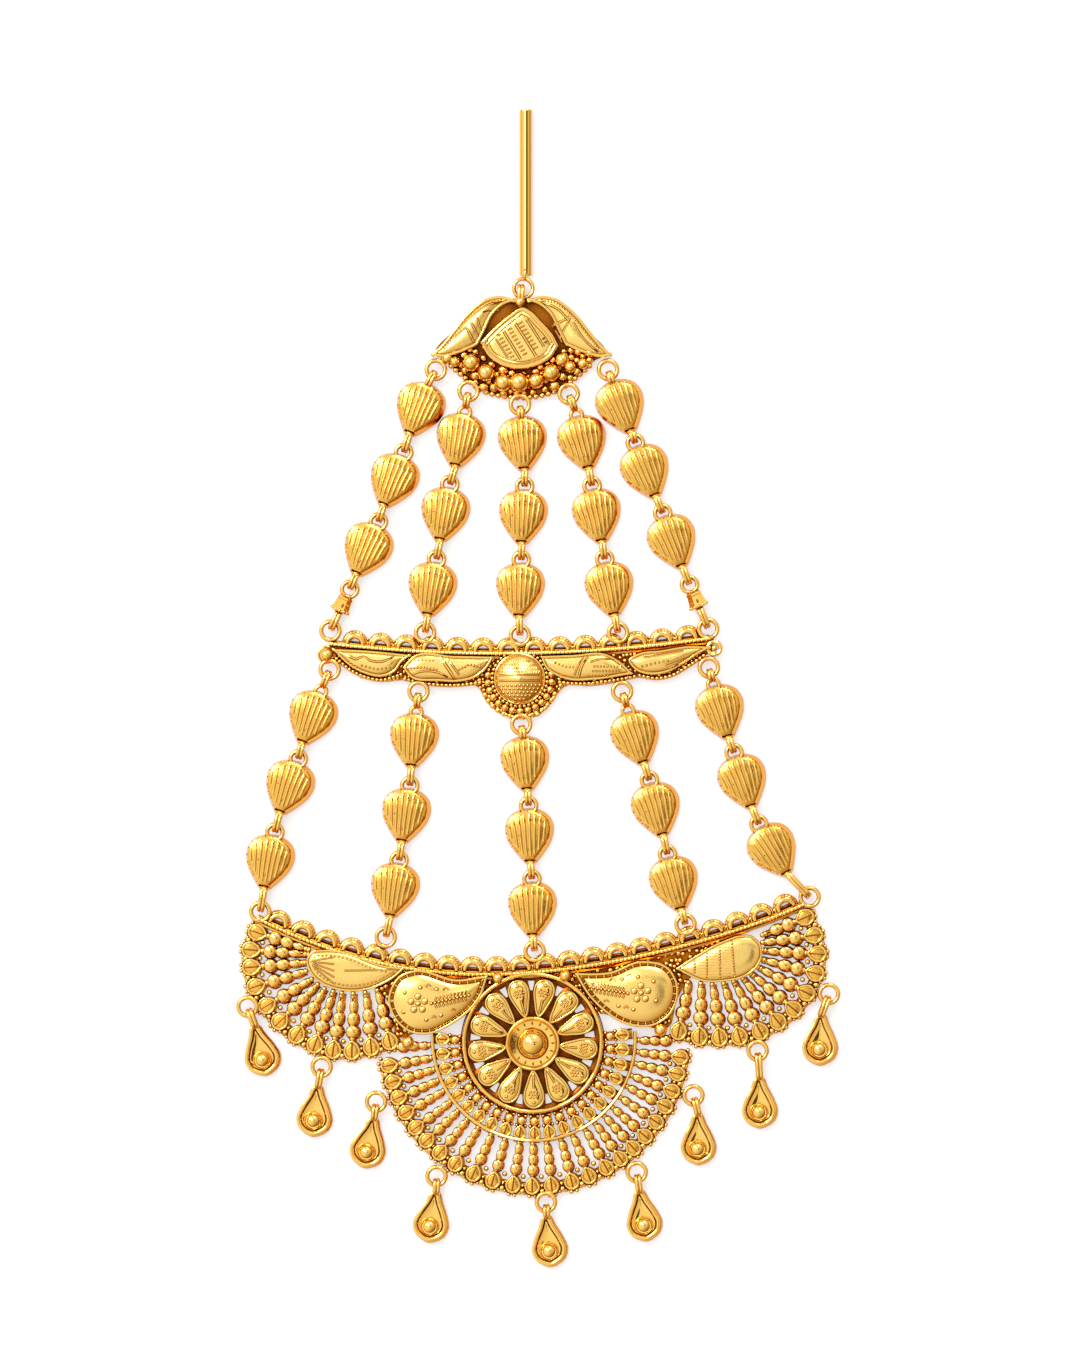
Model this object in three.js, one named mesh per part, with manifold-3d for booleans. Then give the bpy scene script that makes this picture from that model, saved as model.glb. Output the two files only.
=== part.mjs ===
// Chhapka: a bridal hair jewel of gold, lying flat with its face up.
// Millimetres, +Y toward the hair pin, +Z up out of the face, underside on z = 0.
// Every soldered piece is one named mesh; chains hang together by open rings with a small clearance.
import * as THREE from "three";
import { mergeVertices } from "three/addons/utils/BufferGeometryUtils.js";
import Module from "manifold-3d";

const wasm = await Module();
wasm.setup();

// ---------------------------------------------------------------- driving sizes, mm
const WIRE_Z = 1.5; // height of every ring's centre plane
const PLATE = 1.55; // thickness of the back plates
const ROOT = 0.8; // height inside a back plate at which raised work begins
const RING = { radius: 1.38, wire: 0.33 }; // rings soldered to crest, bar and fan
const EYE = { radius: 1.17, wire: 0.33 }; // ring on top of a heart bead
const LOOP = { radius: 0.95, wire: 0.44 }; // upright wire loops, seen edge-on
const LOOP_PAST = 0.25; // how far a loop's wire stops short of the next ring's centre
const HEART = { tip: 8.55, thick: 3.0, side: 2.15, face: 0.84 };
const DROP = { side: 1.9, face: 0.88, ball: 1.25, ballAt: 5.5 };
const ROD = { radius: 1.0, from: 61.4, to: 86.3, x: -1.8, eyeY: 60.9 };
const PIN_RING = { x: -2.2, y: 59.5, radius: 1.42, wire: 0.28, z: 1.5 };
const SCALLOP = { outer: 1.95, inner: 1.2, thick: 1.55 };
const FAN = {
  edge: 24.25,
  slotFrom: 15.8,
  slotTo: 21,
  band: 21.5,
  outerX: 0.2, // the outer arc is struck from a point just above the rosette
  outerY: 0.65,
  ringIn: 10.35,
  ringOut: 15.35,
  pairs: 18,
  pairFrom: 92.5,
  pairPitch: 10.94,
  wire: 0.4,
};
const ROSETTE = { petals: 13, from: 3.75, collar: 3.95, ball: 2.05, rise: 2.3 };
const PETAL_GAP = { from: 8.0, to: 9.9, halfIn: 0.22, halfOut: 1.3 }; // opening between two petals

// ---------------------------------------------------------------- half outlines, mm
// One row per station along the axis: how far down it lies and how wide the half is.
const HEART_HALF = [
  { down: 0.65, half: 1.6 },
  { down: 1.6, half: 3.05 },
  { down: 3.2, half: 3.68 },
  { down: 5.0, half: 3.4 },
  { down: 7.1, half: 2.15 },
  { down: 8.55, half: 0.95 },
];
const DROP_HALF = [
  { down: 0, half: 0.45 },
  { down: 1.7, half: 1.35 },
  { down: 3.5, half: 2.25 },
  { down: 5.2, half: 2.72 },
  { down: 6.7, half: 2.2 },
  { down: 7.55, half: 1.0 },
];
const PETAL_HALF = [
  { down: 0, half: 0.35 },
  { down: 2.4, half: 1.1 },
  { down: 4.4, half: 1.65 },
  { down: 5.9, half: 0.8 },
];

// ---------------------------------------------------------------- chains, mm and degrees
// carrier: ring that the chain hangs from. beads: centre of the ring on each bead and the
// lean of the bead from straight down. end: ring that the last loop holds.
const CHAINS = [
  {
    name: "upper_left_outer",
    carrier: { x: -15.3, y: 47.3 },
    beads: [
      { x: -16.2, y: 45.6, lean: -21 },
      { x: -20.1, y: 34.9, lean: -21 },
      { x: -23.9, y: 24.5, lean: -23 },
    ],
    end: { x: -28.2, y: 14.4 },
    barrel: { x: -31.1, y: 8.2 },
  },
  {
    name: "upper_left_inner",
    carrier: { x: -10.4, y: 44.1 },
    beads: [
      { x: -10.9, y: 41.2, lean: -10 },
      { x: -13.2, y: 30.1, lean: -10 },
      { x: -15.2, y: 18.9, lean: -9 },
    ],
    end: { x: -16.9, y: 7.9 },
  },
  {
    name: "upper_centre",
    carrier: { x: -2.7, y: 42.1 },
    beads: [
      { x: -2.6, y: 40.8, lean: 4 },
      { x: -2.0, y: 29.8, lean: -3 },
      { x: -2.5, y: 18.8, lean: -2 },
    ],
    end: { x: -2.7, y: 7.5 },
  },
  {
    name: "upper_right_inner",
    carrier: { x: 4.6, y: 43.7 },
    beads: [
      { x: 5.7, y: 40.8, lean: 13 },
      { x: 8.1, y: 29.9, lean: 10 },
      { x: 10.0, y: 18.9, lean: 10 },
    ],
    end: { x: 12.0, y: 7.9 },
  },
  {
    name: "upper_right_outer",
    carrier: { x: 10.5, y: 47.3 },
    beads: [
      { x: 10.9, y: 46.0, lean: 21 },
      { x: 14.6, y: 36.3, lean: 21 },
      { x: 18.7, y: 25.8, lean: 20 },
    ],
    end: { x: 22.7, y: 15.1 },
    barrel: { x: 25.5, y: 8.5 },
  },
  {
    name: "lower_left_outer",
    carrier: { x: -31.2, y: 2.4 },
    beads: [
      { x: -32.4, y: -0.6, lean: -20 },
      { x: -35.9, y: -11.0, lean: -19 },
      { x: -39.4, y: -22.0, lean: -11 },
    ],
    end: { x: -41.6, y: -33.9 },
  },
  {
    name: "lower_left_inner",
    carrier: { x: -17.9, y: -0.9 },
    beads: [
      { x: -18.2, y: -3.7, lean: -5 },
      { x: -19.2, y: -15.0, lean: -8 },
      { x: -20.8, y: -26.2, lean: -9 },
    ],
    end: { x: -22.8, y: -37.7 },
  },
  {
    name: "lower_centre",
    carrier: { x: -2.5, y: -5.8 },
    beads: [
      { x: -2.3, y: -7.2, lean: 5 },
      { x: -1.4, y: -18.0, lean: 2 },
      { x: -0.9, y: -29.0, lean: 1 },
    ],
    end: { x: -0.5, y: -39.8 },
  },
  {
    name: "lower_right_inner",
    carrier: { x: 12.6, y: -0.9 },
    beads: [
      { x: 13.4, y: -3.5, lean: 17 },
      { x: 16.7, y: -14.2, lean: 14 },
      { x: 19.4, y: -25.3, lean: 14 },
    ],
    end: { x: 22.1, y: -35.8 },
  },
  {
    name: "lower_right_outer",
    carrier: { x: 25.6, y: 2.7 },
    beads: [
      { x: 26.2, y: 0.4, lean: 16 },
      { x: 29.4, y: -10.1, lean: 18 },
      { x: 33.1, y: -20.8, lean: 30 },
    ],
    end: { x: 40.7, y: -31.7 },
  },
];
const BEAD_NAMES = ["a", "b", "c"];

// Drops: ring on the fan, then tip and lean of the drop below it.
const DROPS = [
  { name: "left_1", ringX: -43.5, ringY: -48.1, x: -42.4, y: -50.9, lean: 14 },
  { name: "left_2", ringX: -32.4, ringY: -57.1, x: -32.9, y: -59.9, lean: -6 },
  { name: "left_3", ringX: -24.25, ringY: -62.35, x: -24.5, y: -64.7, lean: -11 },
  { name: "left_4", ringX: -15.2, ringY: -73.5, x: -15.2, y: -75.8, lean: -9 },
  { name: "centre", ringX: 1.2, ringY: -77.4, x: 1.3, y: -79.4, lean: 6 },
  { name: "right_4", ringX: 14.8, ringY: -72.9, x: 15.2, y: -75.6, lean: 9 },
  { name: "right_3", ringX: 23.3, ringY: -61.4, x: 24.0, y: -64.1, lean: 1 },
  { name: "right_2", ringX: 32.9, ringY: -54.7, x: 33.2, y: -58.6, lean: 1 },
  { name: "right_1", ringX: 43.6, ringY: -46.2, x: 42.5, y: -49.2, lean: -2 },
];

// ---------------------------------------------------------------- places of the soldered pieces
const CREST_AT = { x: -2.7, y: 53.3, turn: 0 };
const BAR_AT = { x: -2.8, y: 4.6, turn: 0.78 };
const FAN_AT = { x: -0.8, y: -53.6, turn: 1.35 };

// ---------------------------------------------------------------- solids
const rad = THREE.MathUtils.degToRad;

function solid(geometry) {
  const bare = geometry.index ? geometry.toNonIndexed() : geometry.clone();
  bare.deleteAttribute("normal");
  bare.deleteAttribute("uv");
  const merged = mergeVertices(bare, 1e-4);
  const vertProperties = merged.attributes.position.array;
  const triVerts = new Uint32Array(merged.index.array);
  return new wasm.Manifold(new wasm.Mesh({ numProp: 3, vertProperties, triVerts }));
}

function union(parts) {
  return parts.reduce((all, part) => all.add(part));
}

function geometryOf(body) {
  const mesh = body.getMesh();
  const geometry = new THREE.BufferGeometry();
  geometry.setAttribute("position", new THREE.BufferAttribute(mesh.vertProperties, 3));
  geometry.setIndex(new THREE.BufferAttribute(mesh.triVerts, 1));
  geometry.computeVertexNormals();
  return geometry;
}

function place(geometry, { x = 0, y = 0, z = 0, turn = 0 }) {
  return geometry.rotateZ(rad(turn)).translate(x, y, z);
}

function counterClockwise(points) {
  return THREE.ShapeUtils.isClockWise(points) ? [...points].reverse() : points;
}

// Closed skin through outlines of the same point count, each at its own height.
function loft(layers) {
  const count = layers[0].points.length;
  const position = [];
  layers.forEach(({ points, z }) => points.forEach((p) => position.push(p.x, p.y, z)));
  const index = [];
  THREE.ShapeUtils.triangulateShape(layers[0].points, []).forEach(([a, b, c]) => {
    index.push(a, c, b);
  });
  for (let level = 1; level < layers.length; level++) {
    const low = (level - 1) * count;
    const high = level * count;
    for (let i = 0; i < count; i++) {
      const j = (i + 1) % count;
      index.push(low + i, low + j, high + j, low + i, high + j, high + i);
    }
  }
  const top = (layers.length - 1) * count;
  const lid = THREE.ShapeUtils.triangulateShape(layers[layers.length - 1].points, []);
  lid.forEach(([a, b, c]) => index.push(top + a, top + b, top + c));
  const geometry = new THREE.BufferGeometry();
  geometry.setAttribute("position", new THREE.Float32BufferAttribute(position, 3));
  geometry.setIndex(index);
  return geometry;
}

function middle(points) {
  const sum = points.reduce((a, p) => a.add(p), new THREE.Vector2());
  return sum.divideScalar(points.length);
}

function shrunk(points, by) {
  const centre = middle(points);
  return points.map((p) => p.clone().sub(centre).multiplyScalar(by).add(centre));
}

function outline(pairs) {
  return counterClockwise(pairs.map(([x, y]) => new THREE.Vector2(x, y)));
}

function mirrored(rows, grow = 0) {
  const right = rows.map((r) => new THREE.Vector2(r.half + grow, -r.down));
  const left = [...rows].reverse().map((r) => new THREE.Vector2(-r.half - grow, -r.down));
  return counterClockwise([...right, ...left]);
}

function plate(points, from, to) {
  return loft([
    { points, z: from },
    { points, z: to },
  ]);
}

// Back plate on an outline.
function sheet(points) {
  return solid(plate(points, 0, PLATE));
}

// Prism that cuts an opening right through a back plate.
function cutter(points) {
  return solid(plate(points, -1, PLATE + 1));
}

// Raised plate with a bevelled shoulder and a gently domed face, rooted in the back plate.
function dome(points, side, top, face = 0.72) {
  return loft([
    { points, z: ROOT },
    { points, z: side },
    { points: shrunk(points, face), z: top },
  ]);
}

function flatRing({ radius, wire }, x, y, z = WIRE_Z, around = 8) {
  return new THREE.TorusGeometry(radius, wire, 3, around).translate(x, y, z);
}

// Upright loop whose long way runs down its own -Y from `from` to `to` (wire centres).
function uprightLoop(from, to, { radius, wire }) {
  const sides = 6;
  const loop = new THREE.TorusGeometry(radius, wire, 3, sides).rotateZ(Math.PI / sides);
  const stretch = (to - from) / 2 - radius;
  const position = loop.attributes.position;
  for (let i = 0; i < position.count; i++) {
    position.setY(i, position.getY(i) + Math.sign(position.getY(i)) * stretch);
  }
  return loop.rotateY(Math.PI / 2).translate(0, -(from + to) / 2, WIRE_Z);
}

function leanOf(from, to) {
  return THREE.MathUtils.radToDeg(Math.atan2(to.x - from.x, from.y - to.y));
}

function distance(a, b) {
  return Math.hypot(a.x - b.x, a.y - b.y);
}

// ---------------------------------------------------------------- heart bead
function heartBody() {
  const points = mirrored(HEART_HALF);
  return loft([
    { points, z: 0 },
    { points, z: HEART.side },
    { points: shrunk(points, HEART.face), z: HEART.thick },
  ]);
}

function heartBead(chain, i) {
  const bead = chain.beads[i];
  const next = chain.beads[i + 1] || chain.end;
  const parts = [solid(place(heartBody(), { ...bead, turn: bead.lean }))];
  const first = i === 0;
  const gap = distance(chain.carrier, bead);
  if (!first || gap > 2.2) {
    const eye = first ? { radius: 0.85, wire: 0.3 } : EYE;
    const drop = EYE.radius - eye.radius;
    const axis = rad(bead.lean);
    parts.push(solid(flatRing(eye, bead.x + drop * Math.sin(axis), bead.y - drop * Math.cos(axis))));
  }
  if (first) {
    const reach = gap > 2.2 ? gap - 0.45 : gap + 1.1;
    const link = uprightLoop(0.45, Math.max(reach, 2.1), LOOP);
    parts.push(solid(place(link, { ...chain.carrier, turn: leanOf(chain.carrier, bead) })));
  }
  const axis = rad(bead.lean);
  const tip = {
    x: bead.x + HEART.tip * Math.sin(axis),
    y: bead.y - HEART.tip * Math.cos(axis),
  };
  const loop = uprightLoop(-0.1, distance(tip, next) - LOOP_PAST, LOOP);
  parts.push(solid(place(loop, { ...tip, turn: leanOf(tip, next) })));
  return union(parts);
}

// ---------------------------------------------------------------- barrel
function barrel(chain) {
  const turn = leanOf(chain.end, chain.barrel);
  const length = distance(chain.end, chain.barrel);
  const body = new THREE.CylinderGeometry(1.2, 1.35, 2.6, 6).translate(0, -2.5, 1.4);
  const loop = uprightLoop(3.6, length - LOOP_PAST - 0.1, LOOP);
  return union([
    solid(flatRing(EYE, chain.end.x, chain.end.y)),
    solid(place(body, { ...chain.end, turn })),
    solid(place(loop, { ...chain.end, turn })),
  ]);
}

// ---------------------------------------------------------------- drop
function dropBody() {
  const points = mirrored(DROP_HALF);
  const ball = new THREE.SphereGeometry(DROP.ball, 8, 6).rotateX(Math.PI / 2);
  return solid(
    loft([
      { points, z: 0 },
      { points: shrunk(points, DROP.face), z: DROP.side },
    ]),
  ).add(solid(ball.translate(0, -DROP.ballAt, 1.7)));
}

function drop(row) {
  const ring = { x: row.ringX, y: row.ringY };
  const reach = distance(ring, row);
  const body = dropBody().rotate(0, 0, row.lean).translate(row.x, row.y, 0);
  const loop = uprightLoop(0.55, reach + 0.35, { radius: 0.8, wire: 0.3 });
  return body.add(solid(place(loop, { ...ring, turn: leanOf(ring, row) })));
}

// ---------------------------------------------------------------- pin
function pinRod() {
  const length = ROD.to - ROD.from;
  const profile = [
    [0, 0],
    [0.75, 0],
    [ROD.radius, 0.3],
    [ROD.radius, length - 0.3],
    [0.75, length],
    [0, length],
  ];
  const points = profile.map(([x, y]) => new THREE.Vector2(x, y));
  const rod = new THREE.LatheGeometry(points, 14).translate(ROD.x, ROD.from, ROD.radius);
  const eye = new THREE.TorusGeometry(0.8, 0.26, 4, 8).rotateY(Math.PI / 2);
  eye.translate(ROD.x - 0.15, ROD.eyeY, PIN_RING.z);
  return union([solid(rod), solid(eye)]);
}

function pinRing() {
  return solid(flatRing(PIN_RING, PIN_RING.x, PIN_RING.y, PIN_RING.z, 12));
}

// ---------------------------------------------------------------- shared parts of the plates
function ball({ x, y, r, z = Math.max(1.3, r) }) {
  return solid(new THREE.SphereGeometry(r, 6, 4).rotateX(Math.PI / 2).translate(x, y, z));
}

function carriers(pick) {
  return CHAINS.flatMap(pick).map(({ x, y }) => solid(flatRing(RING, x, y)));
}

// Half ring standing on the edge of a bar, its opening cut through.
function scallop(x, y, turn) {
  const arch = (r, steps) => {
    const angles = Array.from({ length: steps + 1 }, (_, i) => (Math.PI * i) / steps);
    return angles.map((a) => new THREE.Vector2(r * Math.cos(a), r * Math.sin(a)));
  };
  const points = [...arch(SCALLOP.outer, 4), ...arch(SCALLOP.inner, 3).reverse()];
  return sheet(counterClockwise(points)).rotate(0, 0, turn).translate(x, y, 0);
}

function seat(body, { x, y, turn }) {
  return body.rotate(0, 0, turn).translate(x, y, 0);
}

// ---------------------------------------------------------------- crest
const CREST_LEAF = [
  [-0.5, 4.35],
  [-3.0, 5.05],
  [-5.0, 4.65],
  [-6.6, 3.6],
  [-8.2, 2.1],
  [-10.1, -0.3],
  [-11.8, -2.35],
  [-13.4, -3.85],
  [-11.6, -4.15],
  [-9.3, -3.6],
  [-6.3, -2.3],
  [-5.3, -0.3],
  [-3.9, 2.4],
  [-2.2, 3.8],
];
const CREST_PLATE = [
  [-12.9, -3.7],
  [-12.4, -4.9],
  [-11.0, -4.6],
  [-10.2, -5.5],
  [-8.4, -7.0],
  [-5.7, -9.2],
  [-2.1, -10.1],
  [2.4, -10.1],
  [5.4, -9.5],
  [8.7, -6.9],
  [10.4, -5.4],
  [11.2, -4.6],
  [12.9, -4.9],
  [12.9, -3.7],
  [7.4, 1.6],
  [3.4, 4.3],
  [-3.4, 4.3],
  [-7.4, 1.6],
];
const CREST_FAN = [
  [-0.15, 3.15],
  [-5.85, -1.95],
  [-4.6, -4.1],
  [-2.6, -5.4],
  [-0.1, -5.9],
  [2.5, -5.4],
  [4.5, -4.3],
  [5.65, -2.4],
];
const CREST_BALLS = [
  { x: 0, y: 4.1, r: 0.8, z: 1.9 },
  { x: -9.75, y: -4.8, r: 0.6 },
  { x: -7.35, y: -4.95, r: 1.1 },
  { x: -5.1, y: -6.45, r: 1.1 },
  { x: -2.55, y: -7.95, r: 1.1 },
  { x: -0.15, y: -7.9, r: 1.25 },
  { x: 2.4, y: -7.65, r: 1.0 },
  { x: 4.65, y: -6.45, r: 1.1 },
  { x: 6.3, y: -4.5, r: 0.9 },
  { x: 7.5, y: -5.6, r: 0.7 },
  { x: 9.4, y: -5.1, r: 0.65 },
];

function crest() {
  const flip = CREST_LEAF.map(([x, y]) => [0.45 - x, y]);
  const parts = [
    ...[CREST_PLATE, CREST_LEAF, flip].map((points) => sheet(outline(points))),
    solid(dome(outline(CREST_LEAF), 1.9, 2.7)),
    solid(dome(outline(flip), 1.9, 2.7)),
    solid(dome(outline(CREST_FAN), 2.2, 2.7, 0.85)),
    ...CREST_BALLS.map(ball),
  ];
  const loop = uprightLoop(0, 2.6, LOOP).translate(CREST_AT.x + 0.15, 59.8, 0);
  const rings = carriers((chain) => (chain.name.startsWith("upper") ? [chain.carrier] : []));
  return union([seat(union(parts), CREST_AT), solid(loop), ...rings]);
}

// ---------------------------------------------------------------- cross bar
const BAR = { pitch: 3.84, scallops: 14, middle: 0.35, low: 0.2, radius: 219, sway: 0, strip: 0.5 };
const BAR_PLATE = [
  [-29.0, 0.6],
  [-27.6, -0.4],
  [-24.7, -2.65],
  [-22.7, -3.55],
  [-20.7, -4.05],
  [-17.5, -3.75],
  [-13.4, -4.65],
  [-10.4, -4.95],
  [-6.3, -4.95],
  [-5.0, -7.2],
  [-2.6, -9.3],
  [0, -9.8],
  [2.8, -9.4],
  [4.9, -7.4],
  [6.6, -5.05],
  [10.6, -5.05],
  [13.6, -4.65],
  [17.6, -3.85],
  [20.3, -4.3],
  [22.7, -3.85],
  [24.8, -2.75],
  [27.6, -1],
  [28.8, -1.1],
  [29.6, 0.2],
];
const BAR_LEAVES = [
  [
    [-28.1, 1.3],
    [-25.4, -1.3],
    [-23.2, -2.5],
    [-20.6, -3.0],
    [-18.7, -2.3],
    [-17.5, -0.8],
    [-16.1, 0.2],
    [-22.0, 0.9],
  ],
  [
    [-17.5, -1.6],
    [-16.4, -3.1],
    [-12.0, -3.8],
    [-9.0, -3.9],
    [-6.8, -3.4],
    [-4.9, -2.0],
    [-3.8, -0.2],
    [-9.8, 0],
    [-15.8, 0.1],
  ],
  [
    [3.2, -0.2],
    [3.9, -2.0],
    [5.5, -3.2],
    [7.6, -3.9],
    [11.0, -3.9],
    [17.0, -3.1],
    [15.2, -1.3],
    [12.9, 0],
    [8.0, -0.1],
  ],
  [
    [16.3, -1.0],
    [17.2, -2.4],
    [19.3, -3.2],
    [21.9, -3.0],
    [24.4, -1.8],
    [27.1, -0.1],
    [28.8, 0.8],
    [25.6, 1.0],
    [21.1, 0.4],
    [17.9, 0],
  ],
];
const BAR_BALLS = [
  { x: -28.85, y: 0.4, r: 1.35 },
  { x: 29.3, y: 0.5, r: 1.3 },
];

// Height of a bar's upper edge: a shallow arc, swayed up to the right and down to the left.
function arcY(x, { low, radius, sway }) {
  return low + radius - Math.sqrt(radius * radius - x * x) + sway * Math.sin((Math.PI * x) / 41);
}

// Band along a bar's upper edge.
function strip(arc, half, below, above, steps) {
  const xs = Array.from({ length: steps + 1 }, (_, i) => -half + (2 * half * i) / steps);
  const edge = (lift) => xs.map((x) => new THREE.Vector2(x, arcY(x, arc) + lift));
  return counterClockwise([...edge(above), ...edge(-below).reverse()]);
}

function scallops(arc, lift) {
  return Array.from({ length: arc.scallops }, (_, i) => {
    const x = arc.middle + (i - (arc.scallops - 1) / 2) * arc.pitch;
    const turn = THREE.MathUtils.radToDeg(Math.asin(x / arc.radius));
    return scallop(x, arcY(x, arc) + lift, turn);
  });
}

function crossBar() {
  const top = [29.4, 20, 10, 0, -10, -20, -29].map((x) => [x, arcY(x, BAR)]);
  const bossProfile = [
    [0, ROOT],
    [3.7, ROOT],
    [3.7, 2.0],
    [2.8, 3.2],
    [1.4, 3.9],
    [0, 4.1],
  ].map(([r, z]) => new THREE.Vector2(r, z));
  const boss = new THREE.LatheGeometry(bossProfile, 14);
  const wire = strip(BAR, 28.6, BAR.strip, BAR.strip, 8);
  const disc = Array.from({ length: 14 }, (_, i) => polar(3.8, (360 * i) / 14).add({ x: 0, y: -3.6 }));
  const parts = [
    ...[outline([...BAR_PLATE, ...top]), wire, counterClockwise(disc)].map(sheet),
    ...scallops(BAR, 0.45),
    solid(plate(wire, ROOT, 1.9)),
    ...BAR_LEAVES.map((points) => solid(dome(outline(points), 1.8, 2.6, 0.8))),
    solid(boss.rotateX(Math.PI / 2).translate(0, -3.6, 0)),
    ...BAR_BALLS.map(ball),
  ];
  const above = (chain) => [chain.barrel || chain.end];
  const rings = carriers((chain) => (chain.name.startsWith("upper") ? above(chain) : [chain.carrier]));
  return union([seat(union(parts), BAR_AT), ...rings]);
}

// ---------------------------------------------------------------- fan
const FAN_TOP = { pitch: 3.63, scallops: 22, middle: 0.35, low: 10.6, radius: 96, sway: 0.72 };
// Spokes of the two wings: centre of the outer bezel and the inner end on the leaf.
const LEFT_SPOKES = [
  { x: -40.9, y: 17.6, rootX: -33.2, rootY: 14.8 },
  { x: -41.9, y: 15.0, rootX: -33.3, rootY: 14.1 },
  { x: -41.9, y: 12.4, rootX: -33.8, rootY: 12.9 },
  { x: -41.3, y: 9.5, rootX: -33.7, rootY: 11.6 },
  { x: -39.7, y: 6.6, rootX: -32.9, rootY: 10.4 },
  { x: -37.8, y: 4.2, rootX: -32.0, rootY: 9.6 },
  { x: -35.3, y: 2.1, rootX: -31.0, rootY: 8.9 },
  { x: -32.6, y: 0.6, rootX: -29.7, rootY: 8.5 },
  { x: -29.9, y: -0.3, rootX: -28.4, rootY: 8.2 },
  { x: -27.1, y: -0.5, rootX: -26.7, rootY: 8.1 },
  { x: -24.2, y: 0, rootX: -24.9, rootY: 8.2 },
  { x: -21.4, y: 0.8, rootX: -23.1, rootY: 8.5 },
];
const RIGHT_SPOKES = [
  { x: 41.3, y: 17.9, rootX: 34.8, rootY: 15.4 },
  { x: 42.5, y: 15.2, rootX: 34.8, rootY: 14.3 },
  { x: 43.0, y: 12.4, rootX: 34.7, rootY: 13.1 },
  { x: 42.6, y: 9.5, rootX: 34.5, rootY: 11.8 },
  { x: 41.2, y: 6.6, rootX: 34.0, rootY: 10.6 },
  { x: 39.2, y: 4.2, rootX: 32.9, rootY: 9.7 },
  { x: 36.8, y: 2.4, rootX: 31.7, rootY: 9.0 },
  { x: 34.1, y: 1.0, rootX: 30.3, rootY: 8.6 },
  { x: 31.0, y: 0.3, rootX: 28.8, rootY: 8.3 },
  { x: 28.0, y: 0.2, rootX: 27.1, rootY: 8.2 },
  { x: 25.0, y: 0.4, rootX: 25.4, rootY: 8.4 },
  { x: 21.9, y: 1.3, rootX: 23.5, rootY: 8.6 },
];
const WING_SLOT = { from: 0.22, to: 0.8, bar: 0.5 };
const LEFT_EDGE = [
  [-42.4, 17.6],
  [-43.1, 15.0],
  [-43.2, 12.3],
  [-42.8, 9.7],
  [-41.9, 7.4],
  [-40.5, 5.4],
  [-39.0, 3.3],
  [-37.2, 1.6],
  [-33.4, -0.7],
  [-31.2, -1.7],
  [-28.9, -2.2],
  [-26.5, -2.4],
  [-22.2, -1.8],
  [-19.9, -0.6],
];
const RIGHT_EDGE = [
  [43.3, 19.6],
  [44.4, 15.5],
  [44.8, 12.1],
  [44.7, 9.9],
  [44.2, 7.5],
  [42.9, 5.4],
  [41.1, 3.7],
  [38.4, 1.6],
  [36.4, 0.3],
  [34.1, -0.5],
  [31.9, -1.1],
  [28.7, -1.4],
  [25.1, -1.2],
  [20.6, 0],
];
const LEAF_LEFT = [
  [-33.6, 13.2],
  [-33.1, 11.4],
  [-31.6, 9.8],
  [-29.4, 8.8],
  [-26.9, 8.4],
  [-20.4, 10.4],
  [-18.8, 11.8],
  [-21.9, 12.2],
  [-27.8, 14.4],
  [-30.8, 14.8],
  [-32.8, 14.5],
];
const LEAF_RIGHT = [
  [21.6, 10.7],
  [26.1, 8.6],
  [29.1, 8.6],
  [32.1, 9.3],
  [33.9, 10.6],
  [34.7, 12.4],
  [34.5, 14.0],
  [33.3, 15.3],
  [31.5, 15.5],
  [29.1, 14.8],
  [23.9, 12.1],
];
const PAISLEY_LEFT = [
  [-21.5, 7.0],
  [-19.6, 10.7],
  [-17.6, 11.4],
  [-11.0, 9.9],
  [-6.4, 10.4],
  [-7.8, 6.9],
  [-9.3, 5.1],
  [-11.6, 3.4],
  [-16.1, 1.7],
  [-18.3, 2.1],
  [-20.1, 3.5],
];
const PAISLEY_RIGHT = [
  [6.5, 10.4],
  [11.9, 10.5],
  [16.4, 12.0],
  [20.6, 10.9],
  [21.7, 9.2],
  [22.0, 7.1],
  [20.3, 3.4],
  [18.4, 2.3],
  [13.2, 2.9],
  [11.0, 4.4],
  [8.8, 6.6],
];
// Back plate that carries the leaves and paisleys between the edge wire and the rosette.
const FAN_WEB = [
  [-27, 12.5],
  [-21.5, 5],
  [-20.5, 0.6],
  [-16, 3],
  [-8, 8],
  [-5, 9.5],
  [5, 9.5],
  [9, 5],
  [14, 3],
  [20.6, 1.4],
  [21.8, 6],
  [24, 9.4],
  [27, 13],
  [34, 15.5],
  [26, 15],
  [9, 11.4],
  [0, 10.6],
  [-14, 11.2],
];
const FAN_BALLS = [
  { x: -5.0, y: 9.9, r: 0.9, z: 1.8 },
  { x: 5.1, y: 10.0, r: 0.95, z: 1.8 },
  { x: -18.7, y: 0.6, r: 1.0, z: 1.8 },
  { x: 19.2, y: 1.6, r: 1.0, z: 1.8 },
];

// Point at a radius from the rosette and an angle from straight down, left being positive.
function polar(radius, angle) {
  return new THREE.Vector2(-radius * Math.sin(rad(angle)), -radius * Math.cos(rad(angle)));
}

function sector(radius, from, to, steps) {
  const angles = Array.from({ length: steps + 1 }, (_, i) => from + ((to - from) * i) / steps);
  return angles.map((a) => polar(radius, a));
}

function wedge(inner, outer, angle, halfIn, halfOut) {
  const degIn = THREE.MathUtils.radToDeg(halfIn / inner);
  const degOut = THREE.MathUtils.radToDeg(halfOut / outer);
  const points = [
    polar(inner, angle - degIn),
    polar(outer, angle - degOut),
    polar(outer, angle + degOut),
    polar(inner, angle + degIn),
  ];
  return cutter(counterClockwise(points));
}

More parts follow.
